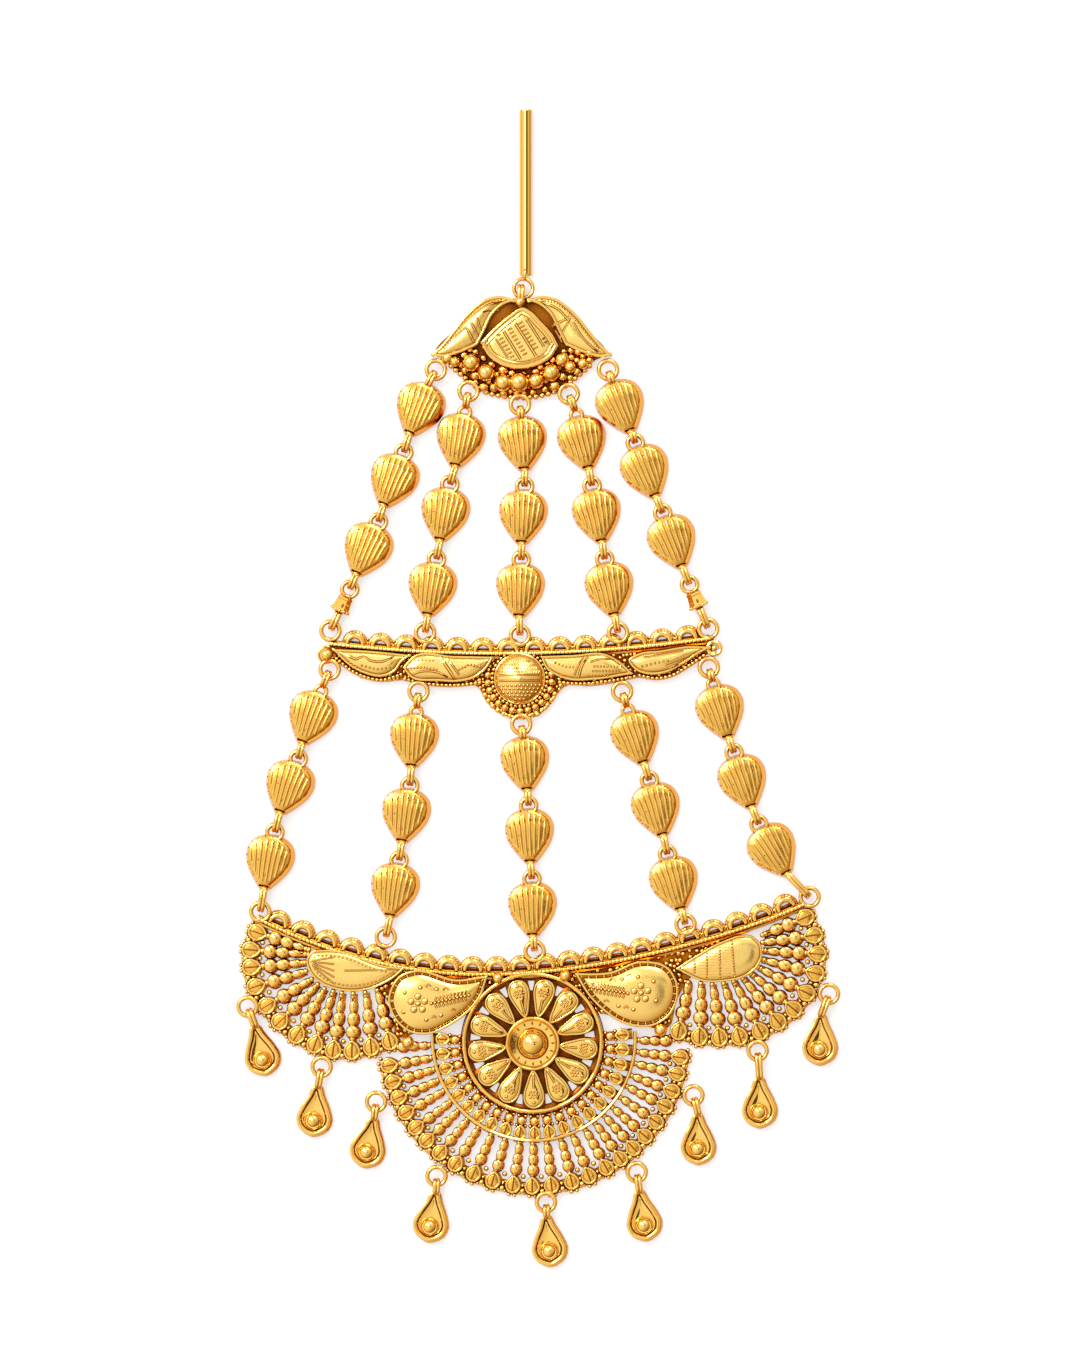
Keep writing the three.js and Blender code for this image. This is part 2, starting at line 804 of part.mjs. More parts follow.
// Opening between two neighbouring spokes of a wing.
function wingSlot(a, b) {
  const at = (spoke, t) =>
    new THREE.Vector2(spoke.rootX, spoke.rootY).lerp(new THREE.Vector2(spoke.x, spoke.y), t);
  const inward = (p, q) => p.clone().add(q.clone().sub(p).setLength(WING_SLOT.bar));
  const ends = [];
  let start = WING_SLOT.from;
  while (at(a, start).distanceTo(at(b, start)) < 2 * WING_SLOT.bar + 0.25) start += 0.04;
  [start, WING_SLOT.to].forEach((t) => {
    const bar = t === WING_SLOT.to ? WING_SLOT.bar + 0.25 : WING_SLOT.bar;
    const p = at(a, t);
    const q = at(b, t);
    const step = q.clone().sub(p).setLength(bar);
    ends.push([p.add(step), q.sub(step)]);
  });
  return cutter(counterClockwise([ends[0][0], ends[1][0], ends[1][1], ends[0][1]]));
}

function wing(edge, spokes, side) {
  const close = [
    [side * 19.5, 9.5],
    [side * 27, 14.2],
    [side * 34.5, 16.8],
    [side * 41.2, 19.6],
  ];
  const slots = spokes.slice(1).map((spoke, i) => wingSlot(spokes[i], spoke));
  return sheet(outline([...edge, ...close])).subtract(union(slots));
}

// Spokes of the central fan, in degrees from straight down, left being positive.
const SPOKES = [
  88, 81, 74.5, 68, 61.5, 54.5, 48, 41, 33.5, 25.5, 17.5, 9.5, 2, -5.5, -13.5, -20.5, -28, -34.5,
  -41, -47.5, -54.5, -61.5, -68, -75, -81.5, -88,
];

function centralFan() {
  const slots = SPOKES.slice(1).map((angle, i) =>
    wedge(FAN.slotFrom, FAN.slotTo, (angle + SPOKES[i]) / 2, 0.45, 0.72),
  );
  const gaps = Array.from({ length: FAN.pairs - 1 }, (_, i) =>
    wedge(11.1, 14.7, FAN.pairFrom - FAN.pairPitch * (i + 0.5), 0.22, 0.4),
  );
  const between = Array.from({ length: ROSETTE.petals }, (_, i) => {
    const { from, to, halfIn, halfOut } = PETAL_GAP;
    return wedge(from, to, (360 * (i + 0.5)) / ROSETTE.petals, halfIn, halfOut);
  });
  const close = [new THREE.Vector2(16, 2.6), new THREE.Vector2(-16, 2.6)];
  return sheet(counterClockwise([...sector(FAN.edge, 88.5, -91, 20), ...close]))
    .translate(FAN.outerX, FAN.outerY, 0)
    .add(sheet(counterClockwise(sector(10.8, 0, 340, 17))))
    .subtract(union([...slots, ...gaps, ...between]));
}

function raisedArc(inner, outer, from, to, steps, top) {
  const points = [...sector(outer, from, to, steps), ...sector(inner, from, to, steps).reverse()];
  return solid(plate(counterClockwise(points), ROOT, top));
}

// Wires round the rosette and round the inner fan, and the raised edge of the fan.
function raisedRings() {
  const wire = FAN.wire;
  const section = [
    [FAN.ringIn - wire, ROOT],
    [FAN.ringIn + wire, ROOT],
    [FAN.ringIn + wire, 2.0],
    [FAN.ringIn - wire, 2.0],
    [FAN.ringIn - wire, ROOT],
  ].map(([r, z]) => new THREE.Vector2(r, z));
  return [
    solid(new THREE.LatheGeometry(section, 18).rotateX(Math.PI / 2)),
    raisedArc(FAN.ringOut - wire, FAN.ringOut + wire, 93, -94, 14, 2.0),
    raisedArc(FAN.band, FAN.edge - 0.2, 84, -88, 16, 1.9).translate(FAN.outerX, FAN.outerY, 0),
  ];
}

function rosette() {
  const petals = Array.from({ length: ROSETTE.petals }, (_, i) => {
    const points = mirrored(PETAL_HALF);
    const petal = loft([
      { points, z: ROOT },
      { points: shrunk(points, 0.75), z: ROSETTE.rise },
    ]).translate(0, -ROSETTE.from, 0);
    return solid(petal.rotateZ((2 * Math.PI * i) / ROSETTE.petals));
  });
  const profile = [
    [0, 0.5],
    [ROSETTE.collar, 0.5],
    [ROSETTE.collar, 2.2],
    [2.4, 2.6],
    [ROSETTE.ball, 1.9],
    [0, 1.9],
  ];
  const points = profile.map(([x, y]) => new THREE.Vector2(x, y));
  const collar = new THREE.LatheGeometry(points, 12).rotateX(Math.PI / 2);
  const head = new THREE.SphereGeometry(ROSETTE.ball, 10, 6).rotateX(Math.PI / 2);
  return [...petals, solid(collar), solid(head.translate(0, 0, 2.1))];
}

function fan() {
  const plates = [LEAF_LEFT, LEAF_RIGHT, PAISLEY_LEFT, PAISLEY_RIGHT].map(outline);
  const parts = [
    wing(LEFT_EDGE, LEFT_SPOKES, -1),
    wing(RIGHT_EDGE, RIGHT_SPOKES, 1),
    centralFan(),
    sheet(strip(FAN_TOP, 41, 0.4, 1.0, 12)),
    sheet(outline(FAN_WEB)),
    ...plates.map(sheet),
    ...scallops(FAN_TOP, 0.95),
    solid(plate(strip(FAN_TOP, 41, 0.4, 0.35, 12), ROOT, 1.9)),
    ...plates.map((points, i) => solid(dome(points, i < 2 ? 1.8 : 2.1, i < 2 ? 2.4 : 3.0, 0.8))),
    ...raisedRings(),
    ...rosette(),
    ...FAN_BALLS.map(ball),
  ];
  const ends = carriers((chain) => (chain.name.startsWith("lower") ? [chain.end] : []));
  const hangers = DROPS.map(({ ringX, ringY }) => solid(flatRing(RING, ringX, ringY)));
  return union([seat(union(parts), FAN_AT), ...ends, ...hangers]);
}

// ---------------------------------------------------------------- assembly
const gold = { color: 0xe8b13a, metalness: 1, roughness: 0.28 };
const jewel = new THREE.Group();

function piece(name, body) {
  const mesh = new THREE.Mesh(geometryOf(body), new THREE.MeshStandardMaterial(gold));
  mesh.name = name;
  jewel.add(mesh);
}

piece("pin_rod", pinRod());
piece("pin_ring", pinRing());
piece("crest", crest());
CHAINS.forEach((chain) => {
  BEAD_NAMES.forEach((letter, i) => piece(`heart_${chain.name}_${letter}`, heartBead(chain, i)));
  if (chain.barrel) piece(`barrel_${chain.name}`, barrel(chain));
});
piece("cross_bar", crossBar());
piece("fan", fan());
DROPS.forEach((row) => piece(`drop_${row.name}`, drop(row)));

// The jewel lies on z = 0 with the middle of its box over the origin.
const box = new THREE.Box3().setFromObject(jewel);
const centre = box.getCenter(new THREE.Vector3());
jewel.children.forEach((mesh) => mesh.geometry.translate(-centre.x, -centre.y, -box.min.z));

export default jewel;
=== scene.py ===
"""Finished goldwork for the chhapka, a bridal hair jewel that lies flat with its face up.

Sizes are in millimetres in the maker's own coordinates: +Y toward the hair pin, +Z out of the
face, underside on z = 0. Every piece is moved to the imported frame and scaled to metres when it
is turned into an object.
"""

import logging
import math
from dataclasses import dataclass, field, replace
from enum import Enum
from typing import Callable, Iterable, Sequence

import bpy
import numpy as np
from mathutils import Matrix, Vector
from mathutils.geometry import delaunay_2d_cdt


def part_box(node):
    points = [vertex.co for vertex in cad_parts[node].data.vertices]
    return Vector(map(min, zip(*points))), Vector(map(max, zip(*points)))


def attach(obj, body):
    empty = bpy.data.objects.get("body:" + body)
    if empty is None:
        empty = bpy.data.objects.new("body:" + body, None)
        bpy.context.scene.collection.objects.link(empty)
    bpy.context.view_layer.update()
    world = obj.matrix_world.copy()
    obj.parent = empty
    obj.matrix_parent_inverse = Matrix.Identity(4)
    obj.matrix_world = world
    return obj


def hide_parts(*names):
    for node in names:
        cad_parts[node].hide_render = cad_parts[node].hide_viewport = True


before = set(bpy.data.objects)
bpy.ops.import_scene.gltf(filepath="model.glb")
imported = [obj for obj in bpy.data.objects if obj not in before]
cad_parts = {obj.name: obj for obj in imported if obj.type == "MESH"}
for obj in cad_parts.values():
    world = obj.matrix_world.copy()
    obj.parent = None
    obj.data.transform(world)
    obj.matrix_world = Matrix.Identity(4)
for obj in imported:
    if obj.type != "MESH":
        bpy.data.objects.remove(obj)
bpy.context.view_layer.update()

MM = 0.001
LOG = logging.getLogger("chhapka")
Point = tuple[float, float]
Height = Callable[[np.ndarray, np.ndarray], np.ndarray]


# ---------------- forms
@dataclass
class Form:
    """A skin in millimetres: points, and faces grouped by their number of corners."""

    points: np.ndarray
    faces: list[np.ndarray]

    def moved(self, x: float = 0.0, y: float = 0.0, z: float = 0.0, turn: float = 0.0) -> "Form":
        """Turns the form about +Z, then moves it.

        Args:
            x: Way along +X.
            y: Way along +Y.
            z: Way along +Z.
            turn: Degrees about +Z.

        Returns:
            The moved form.
        """
        c, s = math.cos(math.radians(turn)), math.sin(math.radians(turn))
        spin = np.array([[c, -s, 0.0], [s, c, 0.0], [0.0, 0.0, 1.0]])
        return Form(self.points @ spin.T + np.array([x, y, z]), self.faces)

    def scaled(self, x: float, y: float, z: float) -> "Form":
        """Stretches the form along its axes."""
        return Form(self.points * np.array([x, y, z]), self.faces)

    def upright(self) -> "Form":
        """Stands a form made in the plane on its edge: its +X becomes +Z."""
        p = self.points
        return Form(np.column_stack([-p[:, 2], p[:, 1], p[:, 0]]), self.faces)

    def laid(self) -> "Form":
        """Lays a form made along +Z down along -Y."""
        p = self.points
        return Form(np.column_stack([p[:, 0], -p[:, 2], p[:, 1]]), self.faces)


def gathered(forms: Iterable[Form]) -> Form:
    """Joins forms into one.

    Args:
        forms: The forms to join.

    Returns:
        One form with every point and face.
    """
    points, faces, start = [], [], 0
    for form in forms:
        points.append(form.points)
        faces.extend(rows + start for rows in form.faces)
        start += len(form.points)
    return Form(np.vstack(points), faces)


def stamped(form: Form, places: Iterable[Sequence[float]]) -> Form:
    """Copies a form to many places.

    Args:
        form: The form to copy.
        places: Rows of x, y, z, turn in degrees and size.

    Returns:
        All the copies as one form.
    """
    rows = [(*place, *(0.0, 0.0, 0.0, 0.0, 1.0)[len(place) :]) for place in places]
    copies = (form.scaled(s, s, s).moved(x, y, z, turn) for x, y, z, turn, s in rows)
    return gathered(copies)


def lathe(rows: Sequence[Point], sides: int) -> Form:
    """Turns a profile about +Z.

    Args:
        rows: Radius and height from the bottom up.
        sides: Number of facets round the axis.

    Returns:
        The turned form. Rows of no radius close it with a point.
    """
    angles = np.linspace(0, 2 * math.pi, sides, endpoint=False)
    points, starts, faces = [], [], []
    count = 0
    for radius, height in rows:
        starts.append((count, radius > 1e-9))
        around = angles if radius > 1e-9 else angles[:1]
        circle = [np.cos(around) * radius, np.sin(around) * radius, np.full(len(around), height)]
        points.append(np.column_stack(circle))
        count += len(around)
    steps = np.arange(sides)
    after = (steps + 1) % sides
    for (low, low_round), (high, high_round) in zip(starts, starts[1:]):
        if low_round and high_round:
            faces.append(np.column_stack([low + steps, low + after, high + after, high + steps]))
        elif low_round:
            faces.append(np.column_stack([low + steps, low + after, np.full(sides, high)]))
        elif high_round:
            faces.append(np.column_stack([np.full(sides, low), high + after, high + steps]))
    (bottom, bottom_round), (top, top_round) = starts[0], starts[-1]
    if bottom_round:
        faces.append((bottom + steps[::-1])[None, :])
    if top_round:
        faces.append((top + steps)[None, :])
    return Form(np.vstack(points), faces)


def ball(radius: float, sides: int = 12, rings: int = 8) -> Form:
    """Turns a ball about its own centre.

    Args:
        radius: Its radius.
        sides: Facets round it.
        rings: Facets from pole to pole.

    Returns:
        The ball, with its poles on Z.
    """
    turns = [math.pi * i / rings for i in range(rings + 1)]
    rows = [(radius * math.sin(a), -radius * math.cos(a)) for a in turns]
    rows[0], rows[-1] = (0.0, -radius), (0.0, radius)
    return lathe(rows, sides)


def wire(
    path: np.ndarray,
    width: float | np.ndarray,
    height: float | np.ndarray,
    closed: bool = True,
    sides: int = 8,
) -> Form:
    """Lays a wire of oval section along a path.

    Args:
        path: Points along the middle of the wire, flat or with a height each.
        width: Half width in the plane, one number or one for each point.
        height: Half height along +Z, likewise.
        closed: True if the wire closes on itself.
        sides: Facets round the wire.

    Returns:
        The wire, with flat ends where it is open.
    """
    count = len(path)
    if path.shape[1] == 2:
        path = np.column_stack([path, np.zeros(count)])
    before = np.roll(path, 1, axis=0)
    after = np.roll(path, -1, axis=0)
    if not closed:
        before[0], after[-1] = path[0], path[-1]
    along = (after - before)[:, :2]
    along /= np.maximum(np.linalg.norm(along, axis=1), 1e-9)[:, None]
    across = np.column_stack([-along[:, 1], along[:, 0]])
    turns = np.linspace(0, 2 * math.pi, sides, endpoint=False)
    wide = np.broadcast_to(width, count)
    tall = np.broadcast_to(height, count)
    flat = path[:, None, :2] + across[:, None, :] * (wide[:, None] * np.cos(turns))[:, :, None]
    lift = path[:, 2:] + tall[:, None] * np.sin(turns)
    points = np.concatenate([flat, lift[:, :, None]], axis=2).reshape(-1, 3)
    spans = np.arange(count if closed else count - 1)
    section = np.arange(sides)
    section_next = (section + 1) % sides
    low, high = spans[:, None] * sides, ((spans + 1) % count)[:, None] * sides
    corners = (low + section, low + section_next, high + section_next, high + section)
    faces = [np.column_stack([corner.ravel() for corner in corners])]
    if not closed:
        faces.append(section[None, ::-1])
        faces.append(((count - 1) * sides + section)[None, :])
    return Form(points, faces)


def curve(
    rows: Sequence[Point], closed: bool = True, corners: Sequence[int] = (), step: float = 0.3
) -> np.ndarray:
    """Draws a smooth line through points, turning sharply only at its corners.

    Args:
        rows: The points to pass through.
        closed: True if the line closes on itself.
        corners: Numbers of the points that stay sharp.
        step: Longest way between two points of the result.

    Returns:
        Points along the line.
    """
    p = np.array(rows, float)
    count = len(p)
    after = np.roll(p, -1, axis=0) - p
    length = np.maximum(np.linalg.norm(after, axis=1), 1e-9)
    slope = after / length[:, None]
    slope_in = np.roll(slope, 1, axis=0)
    length_in = np.roll(length, 1)
    share = (length_in / (length + length_in))[:, None]
    middle = slope * share + slope_in * (1 - share)
    sharp = set(corners) | (set() if closed else {0, count - 1})
    line = []
    for i in range(count if closed else count - 1):
        j = (i + 1) % count
        leave = slope[i] if i in sharp else middle[i]
        arrive = slope[i] if j in sharp else middle[j]
        pieces = max(2, math.ceil(length[i] / step))
        t = (np.arange(pieces) / pieces)[:, None]
        line.append(
            (2 * t**3 - 3 * t**2 + 1) * p[i]
            + (t**3 - 2 * t**2 + t) * leave * length[i]
            + (3 * t**2 - 2 * t**3) * p[j]
            + (t**3 - t**2) * arrive * length[i]
        )
    if not closed:
        line.append(p[-1:])
    return np.vstack(line)


def turned_left(loop: np.ndarray) -> np.ndarray:
    """Gives a closed outline in counter-clockwise order.

    Args:
        loop: The outline, either way round.

    Returns:
        The same points, counter-clockwise.
    """
    x, y = loop[:, 0], loop[:, 1]
    area = np.sum(x * np.roll(y, -1) - np.roll(x, -1) * y)
    return loop if area > 0 else loop[::-1]


def inset(loop: np.ndarray, by: float) -> np.ndarray:
    """Moves a counter-clockwise outline inward.

    Args:
        loop: The outline.
        by: How far inward each point moves.

    Returns:
        The smaller outline, point for point.
    """
    along = np.roll(loop, -1, axis=0) - np.roll(loop, 1, axis=0)
    along /= np.maximum(np.linalg.norm(along, axis=1), 1e-9)[:, None]
    return loop + np.column_stack([-along[:, 1], along[:, 0]]) * by


def edge_distance(points: np.ndarray, line: np.ndarray, closed: bool = True) -> np.ndarray:
    """Measures how far points lie from a line.

    Args:
        points: The points.
        line: Points along the line.
        closed: True if the line closes on itself.

    Returns:
        The distance of each point.
    """
    start, way = line, np.roll(line, -1, axis=0) - line
    if not closed:
        start, way = start[:-1], way[:-1]
    span = np.maximum((way**2).sum(1), 1e-12)
    from_start = points[:, None, :] - start[None]
    t = np.clip((from_start * way[None]).sum(2) / span[None], 0, 1)
    return np.sqrt(((from_start - t[:, :, None] * way[None]) ** 2).sum(2)).min(1)


def within(points: np.ndarray, loop: np.ndarray) -> np.ndarray:
    """Tells which points lie inside a closed outline.

    Args:
        points: The points.
        loop: The outline.

    Returns:
        True for each point inside.
    """
    x, y = points[:, None, 0], points[:, None, 1]
    ax, ay = loop[None, :, 0], loop[None, :, 1]
    bx, by = np.roll(ax, -1, axis=1), np.roll(ay, -1, axis=1)
    crosses = (ay > y) != (by > y)
    gap = np.where(by == ay, 1e-12, by - ay)
    return (crosses & (x < (bx - ax) * (y - ay) / gap + ax)).sum(1) % 2 == 1


def relief(
    loop: np.ndarray,
    height: Height,
    base: float = 0.0,
    grid: Point = (0.3, 0.3),
    insets: Sequence[float] = (0.15,),
    extra: np.ndarray | None = None,
) -> Form:
    """Raises a plate on an outline, with a shaped face and upright walls.

    Args:
        loop: Closed outline.
        height: Height of the face for points and their distances from the edge.
        base: Height of the flat underside.
        grid: Spacing of the face's points, across and along.
        insets: Distances from the edge at which extra rows of points follow it.
        extra: A line that the face's points follow too.

    Returns:
        The closed plate.
    """
    loop = turned_left(loop)
    rows = [loop]
    for by in insets:
        row = inset(loop, by)
        rows.append(row[within(row, loop) & (edge_distance(row, loop) > 0.8 * by)])
    reach = float(np.abs(loop).max()) * 1.5
    across = np.arange(-reach, reach, grid[0])
    up = np.arange(-reach, reach, grid[1])
    spread = np.stack(np.meshgrid(across, up), axis=2).reshape(-1, 2)
    spread = spread[within(spread, loop)]
    clear = edge_distance(spread, loop) > max(insets, default=0.0) + 0.35 * min(grid)
    if extra is not None:
        rows.append(extra)
        clear &= edge_distance(spread, extra) > 0.3 * min(grid)
    rows.append(spread[clear])
    flat = np.vstack(rows)
    edges = [(i, (i + 1) % len(loop)) for i in range(len(loop))]
    found = delaunay_2d_cdt([Vector(p) for p in flat], edges, [], 1, 1e-7)
    at = np.array([tuple(v) for v in found[0]])
    faces = np.array([f for f in found[2] if len(f) == 3])
    came_from = {source: i for i, sources in enumerate(found[3]) for source in sources}
    rim = np.array([came_from[i] for i in range(len(loop))])
    lift = height(at, edge_distance(at, loop))
    top = np.column_stack([at, lift])
    below = np.column_stack([loop, np.full(len(loop), base)])
    low = len(top) + np.arange(len(loop))
    wall = np.column_stack([np.roll(rim, -1), rim, low, np.roll(low, -1)])
    return Form(np.vstack([top, below]), [faces, wall, low[None, ::-1]])


def crowned(edge: float, rise: float, reach: float) -> Height:
    """Describes a face that swells from its edge like a cushion.

    Args:
        edge: Height at the edge.
        rise: How much higher the middle is.
        reach: Distance from the edge at which the full height is reached.

    Returns:
        The height of points at given distances from the edge.
    """

    def height(_: np.ndarray, away: np.ndarray) -> np.ndarray:
        """Gives the height at distances from the edge, whatever the place."""
        t = np.clip(away / reach, 0, 1)
        return edge + rise * np.sqrt(np.clip(1 - (1 - t) ** 2, 0, 1))

    return height


def spaced(path: np.ndarray, pitch: float, closed: bool = False) -> np.ndarray:
    """Walks along a path at an even pace.

    Args:
        path: Points along the path.
        pitch: Wanted spacing, stretched a little to come out even.
        closed: True if the path closes on itself.

    Returns:
        Rows of x, y and the direction of travel in degrees.
    """
    line = np.vstack([path, path[:1]]) if closed else path
    run = np.concatenate([[0], np.cumsum(np.linalg.norm(np.diff(line, axis=0), axis=1))])
    count = max(1, round(run[-1] / pitch))
    stops = np.linspace(0, run[-1], count + 1)[: count if closed else None]
    x, y = np.interp(stops, run, line[:, 0]), np.interp(stops, run, line[:, 1])
    ahead = np.clip(stops + 0.05, 0, run[-1])
    behind = np.clip(stops - 0.05, 0, run[-1])
    dx = np.interp(ahead, run, line[:, 0]) - np.interp(behind, run, line[:, 0])
    dy = np.interp(ahead, run, line[:, 1]) - np.interp(behind, run, line[:, 1])
    return np.column_stack([x, y, np.degrees(np.arctan2(dy, dx))])


def arc(radius: float, start: float, end: float, step: float = 3.0, tall: float = 1.0) -> np.ndarray:
    """Gives points of an arc about the origin.

    Args:
        radius: Radius along X.
        start: First angle, in degrees from straight down, left being positive.
        end: Last angle, likewise.
        step: Longest turn between two points, in degrees.
        tall: Radius along Y as a share of the one along X.

    Returns:
        Points along the arc.
    """
    count = max(2, math.ceil(abs(end - start) / step) + 1)
    angles = np.radians(np.linspace(start, end, count))
    return np.column_stack([-radius * np.sin(angles), -radius * tall * np.cos(angles)])


# ---------------- shader maths
class Value:
    """A number or colour socket that can be used in Python expressions."""

    def __init__(self, nodes: "Nodes", socket: bpy.types.NodeSocket) -> None:
        """Wraps a socket of a node tree."""
        self.nodes = nodes
        self.socket = socket

    def _math(self, operation: str, *terms: "Value | float") -> "Value":
        """Adds a Math node with the terms on its sockets."""
        return self.nodes.add("ShaderNodeMath", {"operation": operation}, dict(enumerate(terms)))

    def __add__(self, other: "Value | float") -> "Value":
        """Adds."""
        return self._math("ADD", self, other)

    __radd__ = __add__

    def __sub__(self, other: "Value | float") -> "Value":
        """Takes away."""
        return self._math("SUBTRACT", self, other)

    def __rsub__(self, other: float) -> "Value":
        """Takes this away from a number."""
        return self._math("SUBTRACT", other, self)

    def __mul__(self, other: "Value | float") -> "Value":
        """Multiplies."""
        return self._math("MULTIPLY", self, other)

    __rmul__ = __mul__

    def clipped(self) -> "Value":
        """Holds the value between 0 and 1."""
        return self.nodes.add("ShaderNodeClamp", {}, {"Value": self, "Min": 0.0, "Max": 1.0})


class Nodes:
    """Builds one node tree."""

    def __init__(self, tree: bpy.types.NodeTree) -> None:
        """Empties the tree to build on."""
        self.tree = tree
        tree.nodes.clear()

    def add(self, kind: str, settings: dict, inputs: dict, output: str | int = 0) -> Value:
        """Adds a node.

        Args:
            kind: The node's type.
            settings: Properties to set before the sockets, with a ramp's stops under "stops".
            inputs: Values or links of its sockets, by name or number.
            output: The socket that the result wraps.

        Returns:
            The chosen output.
        """
        node = self.tree.nodes.new(kind)
        for name, value in settings.items():
            if name == "stops":
                self._set_stops(node.color_ramp, value)
            else:
                setattr(node, name, value)
        for name, value in inputs.items():
            socket = node.inputs[name]
            if isinstance(value, Value):
                self.tree.links.new(value.socket, socket)
            elif isinstance(value, (tuple, list)) and len(value) == 3 and len(socket.default_value) == 4:
                socket.default_value = (*value, 1.0)
            else:
                socket.default_value = value
        return Value(self, node.outputs[output])

    def end(self, kind: str, surface: Value) -> None:
        """Ends the tree at an output node."""
        output = self.tree.nodes.new(kind)
        self.tree.links.new(surface.socket, output.inputs["Surface"])

    @staticmethod
    def _set_stops(ramp: bpy.types.ColorRamp, stops: Sequence[tuple]) -> None:
        """Sets up a colour ramp.

        Args:
            ramp: The ramp.
            stops: Rows of position and grey level, or position and colour.
        """
        while len(ramp.elements) < len(stops):
            ramp.elements.new(0.5)
        for element, (position, shade) in zip(ramp.elements, stops):
            element.position = position
            element.color = (*(shade if isinstance(shade, tuple) else (shade,) * 3), 1.0)

    def mixed(self, factor: "Value | float", low: "Value | tuple", high: "Value | tuple") -> Value:
        """Blends two colours.

        Args:
            factor: Share of the second colour.
            low: First colour.
            high: Second colour.

        Returns:
            The blended colour.
        """
        inputs = {0: factor, 6: low, 7: high}
        return self.add("ShaderNodeMix", {"data_type": "RGBA", "clamp_factor": False}, inputs, 2)

    def noise(self, scale: float, detail: float = 3.0) -> Value:
        """Makes soft noise fixed to the object.

        Args:
            scale: Cells in a metre.
            detail: Octaves.

        Returns:
            The noise, from 0 to 1.
        """
        place = self.add("ShaderNodeTexCoord", {}, {}, "Object")
        inputs = {"Vector": place, "Scale": scale, "Detail": detail}
        return self.add("ShaderNodeTexNoise", {}, inputs, 0)


@dataclass(frozen=True)
class Finish:
    """A way of finishing gold: its colours, gloss and the marks that the tools left.

    The face is mottled between body and glow. Walls and shallow crevices are painted with
    shade in the side colour, deep crevices with darker shade in the recess colour.
    """

    name: str
    body: tuple[float, float, float] = (0.95, 0.57, 0.11)
    glow: tuple[float, float, float] = (0.98, 0.71, 0.23)
    # The side and recess colours are painted shade; crevice, crevice_reach and walls set how much of it.
    side: tuple[float, float, float] = (0.74, 0.27, 0.010)
    recess: tuple[float, float, float] = (0.17, 0.036, 0.003)
    roughness: float = 0.09
    mottle: float = 0.08
    grain: float = 0.04
    grain_scale: float = 2500.0
    depth: float = 0.012
    crevice: float = 1.45
    crevice_reach: float = 0.5
    walls: float = 1.1
    coat: float = 0.04
    coat_roughness: float = 0.06

    MOTTLE_SCALE = 420.0
    # Faces that point less upward than WALL_FROM are painted with wall shade, growing at WALL_RATE.
    WALL_FROM = 0.88
    WALL_RATE = 1.7
    BUMP_STRENGTH = 0.6

    def material(self) -> bpy.types.Material:
        """Builds the finish's material.

        Returns:
            A procedural gold with painted shade in its crevices and on its walls, and fine tool marks.
        """
        made = bpy.data.materials.new(self.name)
        made.use_nodes = True
        nodes = Nodes(made.node_tree)
        # Painted shade in crevices: the less open air round a point, the darker it is painted.
        reach = {"Distance": self.crevice_reach * MM}
        settings = {"samples": 6, "only_local": False}
        open_air = nodes.add("ShaderNodeAmbientOcclusion", settings, reach, "AO")
        crevice = ((1.0 - open_air) * self.crevice).clipped()
        # Painted shade on walls: the steeper a face, the more of the side colour it takes.
        normal = nodes.add("ShaderNodeNewGeometry", {}, {}, "Normal")
        upward = nodes.add("ShaderNodeSeparateXYZ", {}, {"Vector": normal}, "Z")
        walls = ((self.WALL_FROM - upward) * self.WALL_RATE).clipped()
        mottle = nodes.noise(self.MOTTLE_SCALE)
        face = nodes.mixed((mottle - 0.5) * self.mottle * 4.0 + 0.3, self.body, self.glow)
        color = nodes.mixed((walls * self.walls).clipped(), face, self.side)
        color = nodes.mixed((crevice * 1.4 - 0.3).clipped(), color, self.side)
        color = nodes.mixed((crevice * 2.4 - 1.35).clipped(), color, self.recess)
        grain = nodes.noise(self.grain_scale, 2.0)
        rough = (mottle - 0.5) * 0.08 + (grain - 0.5) * self.grain + self.roughness + crevice * 0.12
        inputs = {"Strength": self.BUMP_STRENGTH, "Distance": self.depth * MM, "Height": grain}
        bump = nodes.add("ShaderNodeBump", {}, inputs, "Normal")
        shader = {"Base Color": color, "Metallic": 1.0, "Roughness": rough.clipped(), "Normal": bump}
        shader |= {"Coat Weight": self.coat, "Coat Roughness": self.coat_roughness}
        surface = nodes.add("ShaderNodeBsdfPrincipled", {}, shader, "BSDF")
        nodes.end("ShaderNodeOutputMaterial", surface)
        return made


